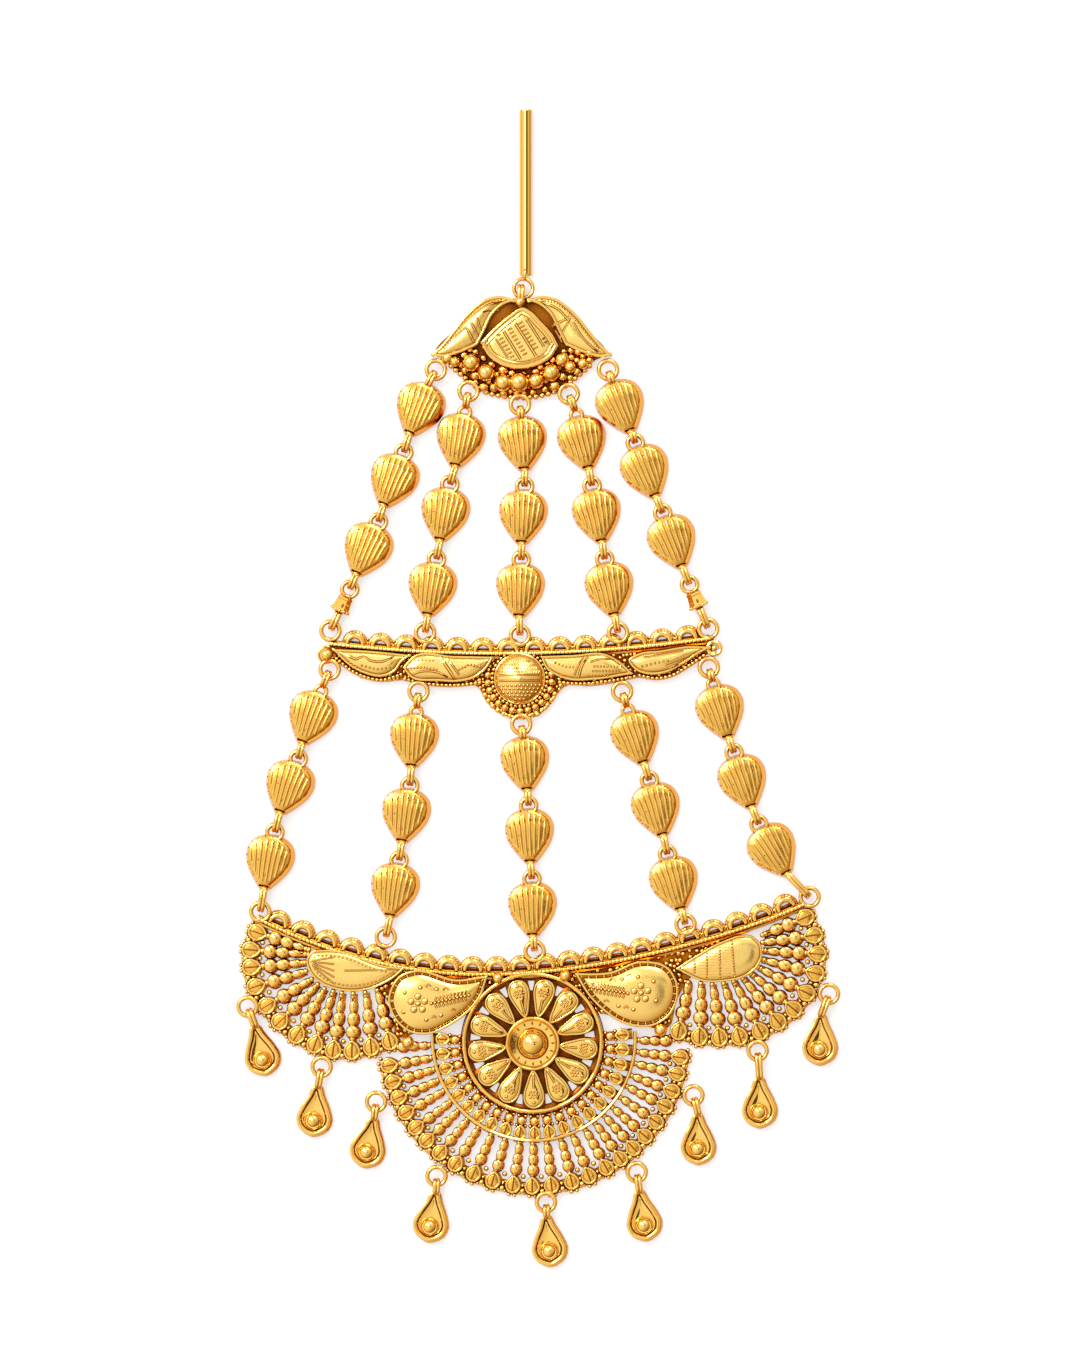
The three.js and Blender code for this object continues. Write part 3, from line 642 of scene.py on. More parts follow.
class Gold(Enum):
    """The finishes on the jewel, from raised and bright to sunk and dark; the darker ones are copies of the
    one gold that paint shade.
    """

    POLISHED = Finish("polished_gold", walls=1.0)
    BRIGHT = Finish(
        "bright_gold", roughness=0.04, mottle=0.02, grain=0.01, depth=0.002, crevice=0.7, walls=0.6
    )
    MIRROR = Finish(
        "mirror_gold", roughness=0.03, mottle=0.02, grain=0.01, depth=0.001, crevice=0.5, walls=0.15
    )
    SATIN = Finish(
        "satin_gold",
        body=(0.97, 0.62, 0.14),
        glow=(1.0, 0.75, 0.28),
        roughness=0.21,
        mottle=0.05,
        grain=0.05,
        depth=0.012,
        crevice=0.95,
    )
    # A darker, grainier copy of the gold: painted shade on the hearts' faces between the ribs and on the
    # bezels' faces.
    FLUTED_SHADE = Finish(
        "fluted_shade_gold",
        body=(0.84, 0.46, 0.065),
        glow=(0.93, 0.60, 0.14),
        roughness=0.17,
        grain=0.08,
        depth=0.015,
    )
    # An orange copy of the gold that paints half shade on walls, skirts, seams and back plates.
    EMBER_SHADE = Finish(
        "ember_shade_gold",
        body=(0.76, 0.29, 0.012),
        glow=(0.92, 0.45, 0.04),
        side=(0.58, 0.18, 0.006),
        recess=(0.13, 0.026, 0.001),
        roughness=0.17,
        crevice=1.7,
        crevice_reach=1.0,
    )
    SHADED = Finish(
        "shaded_gold",
        body=(0.60, 0.26, 0.04),
        glow=(0.78, 0.42, 0.12),
        side=(0.50, 0.17, 0.01),
        roughness=0.3,
        crevice=0.4,
    )
    # A brown copy of the gold that paints the deep shade behind the crest's leaves.
    BROWN_SHADE = Finish(
        "brown_shade_gold",
        body=(0.42, 0.13, 0.006),
        glow=(0.66, 0.27, 0.02),
        side=(0.34, 0.09, 0.004),
        recess=(0.07, 0.013, 0.001),
        roughness=0.2,
        crevice_reach=1.8,
    )
    # A dark copy of the gold that paints deep shade, shadow lines and dark spots.
    DARK_SHADE = Finish(
        "dark_shade_gold",
        body=(0.25, 0.06, 0.004),
        glow=(0.42, 0.13, 0.012),
        side=(0.34, 0.09, 0.006),
        recess=(0.06, 0.011, 0.001),
        roughness=0.22,
        crevice_reach=1.5,
    )


# ---------------- seats in the frame
@dataclass(frozen=True)
class Seat:
    """Where a piece sits: its origin in millimetres and its turn about +Z in degrees."""

    x: float
    y: float
    turn: float = 0.0

    def place(self, form: Form) -> Form:
        """Moves a form made about the origin to the seat."""
        return form.moved(self.x, self.y, 0.0, self.turn)

    def outer(self, x: float, y: float) -> Point:
        """Gives a point of the seat's own coordinates in the plane's."""
        c, s = math.cos(math.radians(self.turn)), math.sin(math.radians(self.turn))
        return self.x + c * x - s * y, self.y + s * x + c * y

    def inner(self, x: float, y: float) -> Point:
        """Gives a point of the plane in the seat's own coordinates."""
        return Seat(0.0, 0.0, -self.turn).outer(x - self.x, y - self.y)


def points_of(node: str) -> np.ndarray:
    """Gives the points of a CAD node in millimetres, each of them once."""
    points = np.array([v.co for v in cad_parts[node].data.vertices]) / MM
    return np.unique(np.round(points, 3), axis=0)


def down_turn(start: Point, end: Point) -> float:
    """Gives the turn that points -Y from one point to another."""
    return math.degrees(math.atan2(end[0] - start[0], start[1] - end[1]))


def footprint_seat(node: str, stations: Sequence["Station"]) -> Seat:
    """Finds where a drop-shaped piece sits by its outline on the floor.

    Args:
        node: The CAD node.
        stations: The half widths of that outline.

    Returns:
        The seat, with the outline running down its -Y.
    """
    points = points_of(node)
    outline = points[points[:, 2] < points[:, 2].min() + 0.02][:, :2]
    known = np.sort([row.down for row in stations for _ in (0, 1)])
    centre = outline.mean(0)
    _, axes = np.linalg.eigh(np.cov((outline - centre).T))
    best = (math.inf, Seat(0, 0))
    for axis in (axes[:, 0], axes[:, 1], -axes[:, 0], -axes[:, 1]):
        along = (outline - centre) @ axis
        misfit = float(np.abs(np.sort(along) + known.mean() - known[: len(along)]).sum())
        start = centre - axis * known.mean()
        turn = down_turn((0, 0), (axis[0], axis[1]))
        if len(along) == len(known) and misfit < best[0]:
            best = (misfit, Seat(float(start[0]), float(start[1]), turn))
    return best[1]


def shift_of_frame() -> Point:
    """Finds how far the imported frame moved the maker's coordinates.

    Returns:
        The way from the pin ring's own middle to its middle in the frame.
    """
    low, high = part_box("pin_ring")
    middle = (low + high) / 2 / MM
    return middle.x - PinRing.x, middle.y - PinRing.y


# ---------------- pieces
@dataclass
class Piece:
    """A soldered piece of the jewel that stands for one CAD node."""

    node: str
    forms: dict[Gold, list[Form]] = field(default_factory=dict, init=False)
    seat: Seat = field(default=Seat(0.0, 0.0), init=False)
    hangs_from: Point = field(default=(0.0, 0.0), init=False)
    holds: Point = field(default=(0.0, 0.0), init=False)

    ROUND_BELOW = 38.0

    def add(self, finish: Gold, *forms: Form) -> None:
        """Keeps forms to be joined in a finish."""
        self.forms.setdefault(finish, []).extend(forms)

    def lay(self, finish: Gold, *forms: Form) -> None:
        """Keeps forms, moved to the piece's seat."""
        self.add(finish, *(self.seat.place(form) for form in forms))

    def lay_all(self, forms: dict[Gold, Form]) -> None:
        """Keeps a sub-assembly's forms, moved to the piece's seat."""
        for finish, form in forms.items():
            self.lay(finish, form)

    def finished(self, finishes: dict[Gold, bpy.types.Material]) -> int:
        """Turns the kept forms into objects that ride on the frame.

        Args:
            finishes: The material of each finish.

        Returns:
            The number of triangles made.
        """
        triangles = 0
        for finish, forms in self.forms.items():
            form = gathered(forms)
            mesh = bpy.data.meshes.new(f"{self.node}_{finish.value.name}")
            faces = [row.tolist() for rows in form.faces for row in rows]
            mesh.from_pydata((form.points * MM).tolist(), [], faces)
            mesh.validate()
            mesh.set_sharp_from_angle(angle=math.radians(self.ROUND_BELOW))
            mesh.materials.append(finishes[finish])
            made = bpy.data.objects.new(mesh.name, mesh)
            bpy.context.scene.collection.objects.link(made)
            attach(made, "root")
            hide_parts(self.node)
            triangles += sum(len(face) - 2 for face in faces)
        return triangles


def ring(radius: float, wire_radius: float, around: int = 28, sides: int = 10) -> Form:
    """Makes a round wire ring lying in the plane."""
    return wire(arc(radius, 0, 360, 360 / around)[:-1], wire_radius, wire_radius, sides=sides)


def upright_loop(start: float, end: float, tall: float, wire_radius: float, spread: float) -> Form:
    """Makes a doubled wire loop standing on edge, its long way down its own -Y.

    Args:
        start: Distance down to the middle of the wire at the near end.
        end: Distance down to the middle of the wire at the far end.
        tall: Half height of the loop to the middle of the wire.
        wire_radius: Radius of the wire.
        spread: Distance between the two turns of wire, 0 for a single one.

    Returns:
        The loop about z = 0.
    """
    half = (end - start) / 2
    turns = np.linspace(0, 2 * math.pi, 28, endpoint=False)
    straight = max(half - tall, 0.0)
    bend = min(tall, half)
    along = np.sign(np.round(np.cos(turns), 6)) * straight + bend * np.cos(turns)
    path = np.column_stack([tall * np.sin(turns), along])
    one = wire(path, wire_radius, wire_radius, sides=10).upright().moved(0, -(start + end) / 2)
    if spread == 0:
        return one
    return gathered([one.moved(-spread / 2), one.moved(spread / 2)])


@dataclass
class PinRod(Piece):
    """The straight hair pin with the small eye at its foot."""

    node: str = "pin_rod"
    radius: float = 0.98
    bevel: float = 0.16
    land: float = 0.06
    skirt: float = 0.35
    eye_radius: float = 0.8
    eye_wire: float = 0.22

    SIDES = 64
    END_ZONE = 2.0

    def build(self) -> None:
        """Turns the pin to the length of its CAD node and sets its eye."""
        points = points_of(self.node)
        top = float(points[:, 1].max())
        upper = points[points[:, 1] > top - self.END_ZONE]
        x, z = (upper.min(0) + upper.max(0))[[0, 2]] / 2
        foot = float(points[np.abs(points[:, 0] - x) > self.radius - 0.05][:, 1].min()) - self.skirt
        length = top - foot
        end = [(0, 0), (self.radius - 1.2 * self.bevel, 0)]
        end.append((self.radius - self.bevel * 0.3, self.bevel * 0.3))
        end += [(self.radius, self.bevel * 1.2), (self.radius, self.bevel * 1.2 + self.land)]
        rows = end + [(radius, length - up) for radius, up in reversed(end)]
        self.add(Gold.BRIGHT, lathe(rows, self.SIDES).laid().moved(x, top, z))
        eye = upright_loop(-self.eye_radius, self.eye_radius, self.eye_radius, self.eye_wire, 0.0)
        self.add(Gold.POLISHED, eye.moved(x - 0.15, foot + 0.2, PinRing.z))


@dataclass
class PinRing(Piece):
    """The round jump ring between pin and crest."""

    node: str = "pin_ring"
    x: float = -2.2
    y: float = 59.5
    z: float = 1.5
    radius: float = 1.42
    wire_radius: float = 0.3

    def build(self, shift: Point) -> None:
        """Bends the ring."""
        made = ring(self.radius, self.wire_radius, 40, 12)
        self.add(Gold.POLISHED, made.moved(self.x + shift[0], self.y + shift[1], self.z))


@dataclass(frozen=True)
class Link:
    """The doubled wire loops and round rings that join one bead to the next."""

    ring_z: float = 1.5
    eye: float = 1.17
    eye_wire: float = 0.34
    tall: float = 0.9
    wire_radius: float = 0.32
    spread: float = 0.5
    tuck: float = 0.44

    def eye_ring(self) -> Form:
        """Makes the round ring on top of a bead."""
        return ring(self.eye, self.eye_wire).moved(z=self.ring_z)

    def loop(self, start: float, end: float) -> Form:
        """Makes the loop that runs down to the next ring, with a bead at its root.

        Args:
            start: Distance down to the near end.
            end: Distance down to the far end.

        Returns:
            The loop and the bead at the height of the rings.
        """
        made = upright_loop(start, end, self.tall, self.wire_radius, self.spread)
        knot = ball(0.62, 16, 10).moved(0, -(start + 0.35), 0.35)
        return gathered([made, knot]).moved(z=self.ring_z)


@dataclass(frozen=True)
class Station:
    """Half width of an outline at a distance down its axis."""

    down: float
    half: float


def pear(stations: Sequence[Station], foot: float | None = None, step: float = 0.3) -> np.ndarray:
    """Draws the smooth outline of a pear or heart that hangs down from the origin.

    Args:
        stations: Half widths from the top down.
        foot: How far down the middle of a rounded end lies, or None for a flat end.
        step: Longest way between two points.

    Returns:
        The outline, counter-clockwise.
    """
    right = [(row.half, -row.down) for row in stations]
    left = [(-x, y) for x, y in reversed(right)]
    if foot is not None:
        return turned_left(curve([*right, (0.0, -foot), *left], step=step))
    last = len(right) - 1
    return turned_left(curve([*right, *left], corners=(last, last + 1), step=step))


@dataclass
class HeartBead(Piece):
    """A fluted heart with its ring above and its link below."""

    link: Link = Link()
    first: bool = False

    STATIONS = (
        Station(0.65, 1.6),
        Station(1.6, 3.05),
        Station(3.2, 3.68),
        Station(5.0, 3.4),
        Station(7.1, 2.15),
        Station(8.55, 0.95),
    )
    TIP = 8.55
    FOOT = 0.9
    WALL = 2.15
    CROWN = 0.38
    BEVEL = 0.45
    LEAN = (-0.2, 0.08)
    RIBS = 9
    RIB_PITCH = 0.84
    RIB_DOWNS = np.arange(0.9, 8.4, 0.3)
    RIB_CLEAR = 0.32
    TAPER = 0.05
    COLLAR = ((0.0, 0.0), (0.6, 0.0), (0.85, 0.2), (0.85, 0.45), (0.6, 0.65), (0.0, 0.65))
    PIT_SEED = 7
    PITS = 26

    def build(self, body: dict[Gold, Form]) -> None:
        """Sets a ready-made body on its seat and hangs its links.

        Args:
            body: The forms of a heart with its shoulders just below the origin.
        """
        self.seat = footprint_seat(self.node, self.STATIONS)
        self.lay_all(body)
        local = np.array([self.seat.inner(x, y) for x, y in points_of(self.node)[:, :2]])
        tip = np.array([0.0, -self.TIP])
        below = local[local[:, 1] < -self.TIP - 0.3]
        reach = np.linalg.norm(below - tip, axis=1)
        end = below[reach > reach.max() - 0.05].mean(0)
        length = float(reach.max()) - self.link.tuck
        loop = self.link.loop(-0.1, length)
        self.lay(Gold.POLISHED, loop.moved(tip[0], tip[1], 0, down_turn(tip, end)))
        self.holds = self.seat.outer(*(tip + (end - tip) * (length + 0.25) / float(reach.max())))
        if self.first:
            self._hang_from_carrier(local)
        else:
            self.lay(Gold.POLISHED, self.link.eye_ring())

    def _hang_from_carrier(self, local: np.ndarray) -> None:
        """Hangs the first bead of a chain from a ring of the plate above.

        Args:
            local: The CAD points in the seat's coordinates.
        """
        highest = float(local[:, 1].max())
        top = local[local[:, 1] > highest - 0.3].mean(0)
        self.hangs_from = self.seat.outer(*top)
        end = float(np.linalg.norm(top)) + 0.9
        if highest > 2.0:
            self.lay(Gold.POLISHED, ring(0.85, 0.32).moved(0, -0.32, self.link.ring_z))
            end = float(np.linalg.norm(top)) - 0.55
        loop = self.link.loop(self.link.tuck, max(end, 2.0))
        turn = down_turn(top, (0.0, 0.0))
        self.lay(Gold.POLISHED, loop.moved(top[0], top[1], 0, turn))

    @classmethod
    def body(cls) -> dict[Gold, Form]:
        """Raises the fluted heart once for all of the beads.

        Returns:
            Its forms by finish.
        """
        loop = pear(cls.STATIONS)
        face = inset(loop, cls.BEVEL) + np.array(cls.LEAN)
        swell = crowned(cls.WALL, cls.CROWN, 2.8)

        def height(at: np.ndarray, away: np.ndarray) -> np.ndarray:
            """Gives the height of the face and of the slope round it.

            Args:
                at: Places on the bead.
                away: Their distances from its edge.

            Returns:
                The height of each place.
            """
            inner = edge_distance(at, face)
            share = away / np.maximum(away + inner, 1e-6)
            slope = cls.FOOT + (cls.WALL - cls.FOOT) * share**0.8
            return np.where(within(at, face), swell(at, inner), slope)

        plate = relief(loop, height, 0.0, (0.4, 0.4), (), extra=face)
        ribs, lines = [], []
        for number in range(cls.RIBS):
            narrowing = 1 - cls.TAPER * (cls.RIB_DOWNS - 1.2)
            xs = (number - (cls.RIBS - 1) / 2) * cls.RIB_PITCH * narrowing
            path = np.column_stack([xs, -cls.RIB_DOWNS])
            path = path[within(path, face) & (edge_distance(path, face) > cls.RIB_CLEAR)]
            if len(path) < 4:
                continue
            lift = height(path, edge_distance(path, loop))
            ribs.append(wire(np.column_stack([path, lift]), 0.19, 0.13, closed=False, sides=8))
            # A line of painted shadow just right of each rib, away from the light.
            edge = path + np.array([0.2, 0.0])
            lines.append(wire(np.column_stack([edge, lift + 0.01]), 0.05, 0.04, closed=False, sides=4))
        return {
            Gold.FLUTED_SHADE: plate,
            Gold.POLISHED: lathe(cls.COLLAR, 20).laid().moved(0, -cls.TIP + 0.4, 1.5),
            Gold.BRIGHT: gathered(ribs),
            Gold.EMBER_SHADE: gathered(lines),
            Gold.DARK_SHADE: cls._pits(face, height, loop),
        }

    @classmethod
    def _pits(cls, face: np.ndarray, height: Height, loop: np.ndarray) -> Form:
        """Scatters the fine pits of the casting over the face and nicks round its edge, all in painted
        shade.

        Args:
            face: Outline of the face.
            height: Height of the bead.
            loop: Outline of the bead.

        Returns:
            The pits as low dark buttons of painted shade.
        """
        rng = np.random.default_rng(cls.PIT_SEED)
        spots = np.column_stack([rng.uniform(-3.0, 3.0, cls.PITS), rng.uniform(-7.6, -1.4, cls.PITS)])
        spots = spots[within(spots, face) & (edge_distance(spots, face) > 0.4)]
        nicks = spaced(face, 1.1, closed=True)[:, :2] + rng.uniform(-0.12, 0.12, (1, 2))
        spots = np.vstack([spots, nicks])
        lift = height(spots, edge_distance(spots, loop))
        sizes = rng.uniform(0.7, 1.2, len(spots))
        rows = [(x, y, z, 0.0, size) for (x, y), z, size in zip(spots, lift, sizes)]
        return stamped(ball(0.1, 6, 3).scaled(1.0, 1.2, 0.5), rows)


@dataclass
class Barrel(Piece):
    """A short faceted tube between an outer chain and the cross bar."""

    link: Link = Link()
    sides: int = 8

    PROFILE = (
        (0.0, 0.0), (0.9, 0.0), (1.2, 0.2), (1.28, 0.5), (1.15, 0.62), (1.22, 0.8),
        (1.34, 1.5), (1.45, 2.1), (1.5, 2.25), (1.42, 2.45), (0.9, 2.6), (0.0, 2.6),
    )
    AXIS_Z = 1.62
    RIM = 1.32
    RIM_GRAINS = 12

    def build(self) -> None:
        """Turns the tube about the line found from the lowest points of its CAD node."""
        points = points_of(self.node)
        low = points[points[:, 2] < 0.25][:, :2]
        upper, lower = low[low[:, 1].argmax()], low[low[:, 1].argmin()]
        way = (lower - upper) / np.linalg.norm(lower - upper)
        start = upper - way * 1.2
        self.seat = Seat(float(start[0]), float(start[1]), down_turn(upper, lower))
        local = np.array([self.seat.inner(x, y) for x, y in points[:, :2]])
        tube = lathe(self.PROFILE, self.sides).moved(turn=22.5).laid().moved(0, -1.2, self.AXIS_Z)
        turns = np.linspace(0, 2 * math.pi, self.RIM_GRAINS, endpoint=False)
        rim = [(self.RIM * math.sin(a), -3.45, self.AXIS_Z + self.RIM * math.cos(a)) for a in turns]
        self.lay(Gold.POLISHED, tube, stamped(ball(0.26, 8, 6), rim))
        # Paints a small dark oval on top of the tube.
        mark = ball(1.0, 8, 6).scaled(0.2, 0.42, 0.1).moved(0.1, -2.75, 2.84)
        self.lay(Gold.DARK_SHADE, mark)
        length = -float(local[:, 1].min())
        loop = self.link.loop(3.6, length - self.link.tuck)
        self.holds = self.seat.outer(0.0, 0.09 - length)
        self.lay(Gold.POLISHED, self.link.eye_ring(), loop)


@dataclass
class Drop(Piece):
    """A pear drop: a thick frame round a polished dish with a ball in it."""

    link: Link = Link()

    STATIONS = (
        Station(0, 0.45),
        Station(1.7, 1.35),
        Station(3.5, 2.25),
        Station(5.2, 2.72),
        Station(6.7, 2.2),
        Station(7.55, 1.0),
    )
    FOOT = 7.85
    BALL = 1.3
    BALL_AT = 5.4
    FRAME = 0.42
    LEAN = (-0.2, 0.1)

    def build(self, body: dict[Gold, Form]) -> None:
        """Sets a ready-made body on its seat and hangs it from the fan.

        Args:
            body: The forms of a drop with its tip at the origin.
        """
        self.seat = footprint_seat(self.node, self.STATIONS)
        self.lay_all(body)
        local = np.array([self.seat.inner(x, y) for x, y in points_of(self.node)[:, :2]])
        top = local[local[:, 1] > local[:, 1].max() - 0.25].mean(0)
        self.hangs_from = self.seat.outer(*(top * (1 + 0.25 / float(np.linalg.norm(top)))))
        loop = upright_loop(0.3, float(np.linalg.norm(top)) + 0.35, 0.8, 0.32, 0.5)
        turn = down_turn(top, (0.0, 0.0))
        self.lay(Gold.POLISHED, loop.moved(top[0], top[1], self.link.ring_z, turn))

    @classmethod
    def body(cls) -> dict[Gold, Form]:
        """Raises the drop once for all nine.

        Returns:
            Its forms by finish.
        """
        loop = pear(cls.STATIONS, cls.FOOT, 0.25)
        lean = np.array(cls.LEAN)
        inner = inset(loop, 0.5) + lean

        def dish(_: np.ndarray, away: np.ndarray) -> np.ndarray:
            """Gives the height of the hollow dish."""
            t = np.clip(away / 1.6, 0, 1)
            return 1.78 - 0.42 * np.sqrt(np.clip(1 - (1 - t) ** 2, 0, 1))

        floor = relief(inner, dish, 0.2, (0.22, 0.22), (0.15, 0.35))
        # The frame and the step inside it are painted with half shade; the seam round the ball and the nicks
        # down the right side, with deep shade.
        frame_wire = wire(inset(loop, cls.FRAME), cls.FRAME, 0.8, sides=14).moved(z=0.82)
        rim = wire(inset(loop, 0.46) + lean, 0.3, 0.2, sides=10).moved(z=1.8)
        step = wire(inset(loop, 0.9) + lean, 0.07, 0.08, sides=4).moved(z=1.56)
        path = np.array([(0.0, -1.5), (0.0, -2.6), (0.0, -4.1)])
        ridge = wire(np.column_stack([path + lean, [1.6, 1.3, 1.2]]), 0.07, 0.1, closed=False)
        boss = ball(cls.BALL, 36, 24).moved(lean[0], lean[1] - cls.BALL_AT, 1.72)
        seam = ring(cls.BALL + 0.1, 0.07, 40, 6).moved(lean[0], lean[1] - cls.BALL_AT, 1.3)
        side = inset(loop, 0.08)
        side = side[(side[:, 0] > 0.6) & (side[:, 1] < -1.8)]
        nicks = [(x, y, 0.95, 0.0, 0.11) for x, y, _ in spaced(side, 0.8)]
        return {
            Gold.EMBER_SHADE: gathered([frame_wire, step]),
            Gold.POLISHED: gathered([rim, ridge]),
            Gold.BRIGHT: floor,
            Gold.MIRROR: boss,
            Gold.DARK_SHADE: gathered([seam, stamped(ball(1.0, 8, 6), nicks)]),
        }


# ---------------- parts of the plates
@dataclass(frozen=True)
class Mark:
    """A raised line or dot on a plate's face, with a painted shadow round it."""

    line: tuple[Point, ...]
    half: float = 0.1
    rise: float = 0.13

    # Width and height of a mark's painted shadow.
    EDGE = 0.08
    EDGE_RISE = 0.045
    STEP = 0.35

    def _on(self, loop: np.ndarray, height: Height) -> np.ndarray:
        """Gives the line's points lifted to a face.

        Args:
            loop: Outline of the face.
            height: Its height.

        Returns:
            Points along the mark.
        """
        line = np.array(self.line, float)
        if len(line) > 2:
            line = curve(self.line, closed=False, step=self.STEP)
        elif len(line) > 1:
            line = spaced(line, self.STEP)[:, :2]
        return np.column_stack([line, height(line, edge_distance(line, loop))])

    def lies_in(self, outline: np.ndarray) -> bool:
        """Tells whether the whole mark lies in an outline."""
        return bool(within(np.array(self.line, float), outline).all())

    @staticmethod
    def _drawn(path: np.ndarray, half: float, rise: float) -> Form:
        """Draws a fine wire along a path, or a button on a single point.

        Args:
            path: Points of the mark.
            half: Its half width.
            rise: Its half height.

        Returns:
            The wire or the button.
        """
        if len(path) == 1:
            return ball(1.0, 8, 5).scaled(half, half, rise).moved(*(float(v) for v in path[0]))
        return wire(path, half, rise, closed=False, sides=6)

    def raised(self, loop: np.ndarray, height: Height) -> Form:
        """Raises the mark on a face of a given outline and height."""
        sunk = np.array([0, 0, 0.2 * self.rise])
        return self._drawn(self._on(loop, height) - sunk, self.half, self.rise)

    def shadow(self, loop: np.ndarray, height: Height) -> Form:
        """Makes the mark's painted shadow, a dark edge on the same face."""
        return self._drawn(self._on(loop, height), self.half + self.EDGE, self.EDGE_RISE)


def dotted(line: Sequence[Point] | np.ndarray, pitch: float, half: float) -> list[Mark]:
    """Sets a row of raised dots along a line."""
    return [Mark(((x, y),), half, half) for x, y, _ in spaced(np.array(line, float), pitch)]


def strokes(line: Sequence[Point] | np.ndarray, pitch: float, length: float, lean: float) -> list[Mark]:
    """Sets a row of short raised strokes along a line.

    Args:
        line: Points along the row.
        pitch: Distance between two strokes.
        length: Length of a stroke.
        lean: Degrees by which a stroke leans from the row.

    Returns:
        The strokes.
    """
    made = []
    for x, y, turn in spaced(np.array(line, float), pitch):
        a = math.radians(turn + lean)
        dx, dy = length / 2 * math.cos(a), length / 2 * math.sin(a)
        made.append(Mark(((x - dx, y - dy), (x + dx, y + dy)), 0.08, 0.12))
    return made


@dataclass(frozen=True)
class Leaf:
    """A raised leaf, paisley or petal on a plate."""

    rows: tuple[Point, ...]
    corners: tuple[int, ...] = ()
    edge: float = 1.8
    crown: float = 0.5
    reach: float = 2.2
    rim: float = 0.2
    grid: float = 0.3
    groove: float = 0.0
    milled: bool = False
    marks: tuple[Mark, ...] = ()

    BEVEL = 0.12
    FINE_MARK = 0.067

    def loop(self) -> np.ndarray:
        """Draws the leaf's outline."""
        return turned_left(curve(self.rows, corners=self.corners, step=0.25))

    def height(self, at: np.ndarray, away: np.ndarray) -> np.ndarray:
        """Gives the height of the face, which swells inside its groove.

        Args:
            at: Places on the leaf.
            away: Their distances from its edge.

        Returns:
            The height of each place.
        """
        start = 1.5 * self.rim + self.groove
        swell = crowned(self.edge, self.crown, self.reach)(at, np.maximum(away - start, 0.0))
        depth = 0.22 if self.groove else 0.08
        return swell - np.clip((start + self.BEVEL - away) / self.BEVEL, 0, 1) * depth

    def forms(self, face: Gold) -> dict[Gold, Form]:
        """Makes the leaf.

        Args:
            face: Finish of its face.

        Returns:
            Its plate, its rim wire with the raised marks, the seam of painted shade inside the rim,
            and the marks' painted shadows.
        """
        loop = self.loop()
        start = 1.5 * self.rim + self.groove
        insets = (start, start + self.BEVEL, start + 0.3)
        plate = relief(loop, self.height, 0.0, (self.grid, self.grid), insets)
        border = wire(inset(loop, self.rim), self.rim, self.rim * 0.75)
        raised = [border.moved(z=self.edge + 0.3 * self.rim)]
        raised += [mark.raised(loop, self.height) for mark in self.marks]
        # Painted shadows round all but the finest marks.
        dark = [mark.shadow(loop, self.height) for mark in self.marks if mark.half > self.FINE_MARK]
        # The seam is a line of painted shade inside the rim, in its groove where it has one.
        middle = inset(loop, 1.7 * self.rim + self.groove / 2)
        depth = 0.2 if self.groove else 0.04
        seam = wire(middle, max(0.42 * self.groove, 0.07), 0.05, sides=6).moved(z=self.edge - depth)
        if self.milled:
            raised.append(self._dashes(loop))
        made = {face: plate, Gold.POLISHED: gathered(raised), Gold.EMBER_SHADE: seam}
        return made | ({Gold.DARK_SHADE: gathered(dark)} if dark else {})

    def _dashes(self, loop: np.ndarray) -> Form:
        """Mills short bars across the groove inside the rim.

        Args:
            loop: The leaf's outline.

        Returns:
            The bars.
        """
        bar = wire(np.array([(0.0, -0.28), (0.0, 0.28)]), 0.16, 0.2, closed=False, sides=6)
        path = inset(loop, 1.5 * self.rim + self.groove / 2)
        path = path[edge_distance(path, loop) > 1.2 * self.rim + self.groove / 2]
        return stamped(bar, [(x, y, self.edge - 0.12, turn) for x, y, turn in spaced(path, 1.15)])


@dataclass(frozen=True)
class EdgeArc:
    """The shallow upper edge of a bar, with its row of scallops."""

    pitch: float
    count: int
    middle: float
    low: float
    radius: float
    sway: float

    def y(self, x: float) -> float:
        """Gives the height of the edge at a place along it."""
        bow = self.low + self.radius - math.sqrt(self.radius**2 - x * x)
        return bow + self.sway * math.sin(math.pi * x / 41)

    def path(self, start: float, end: float, lift: float = 0.0) -> np.ndarray:
        """Gives points along the edge, lifted by a distance."""
        xs = np.linspace(start, end, 60)
        return np.array([(x, self.y(x) + lift) for x in xs])

    def scallops(self, lift: float) -> list[Seat]:
        """Seats the scallops along the edge."""
        xs = [self.middle + (i - (self.count - 1) / 2) * self.pitch for i in range(self.count)]
        return [Seat(x, self.y(x) + lift, math.degrees(math.asin(x / self.radius))) for x in xs]


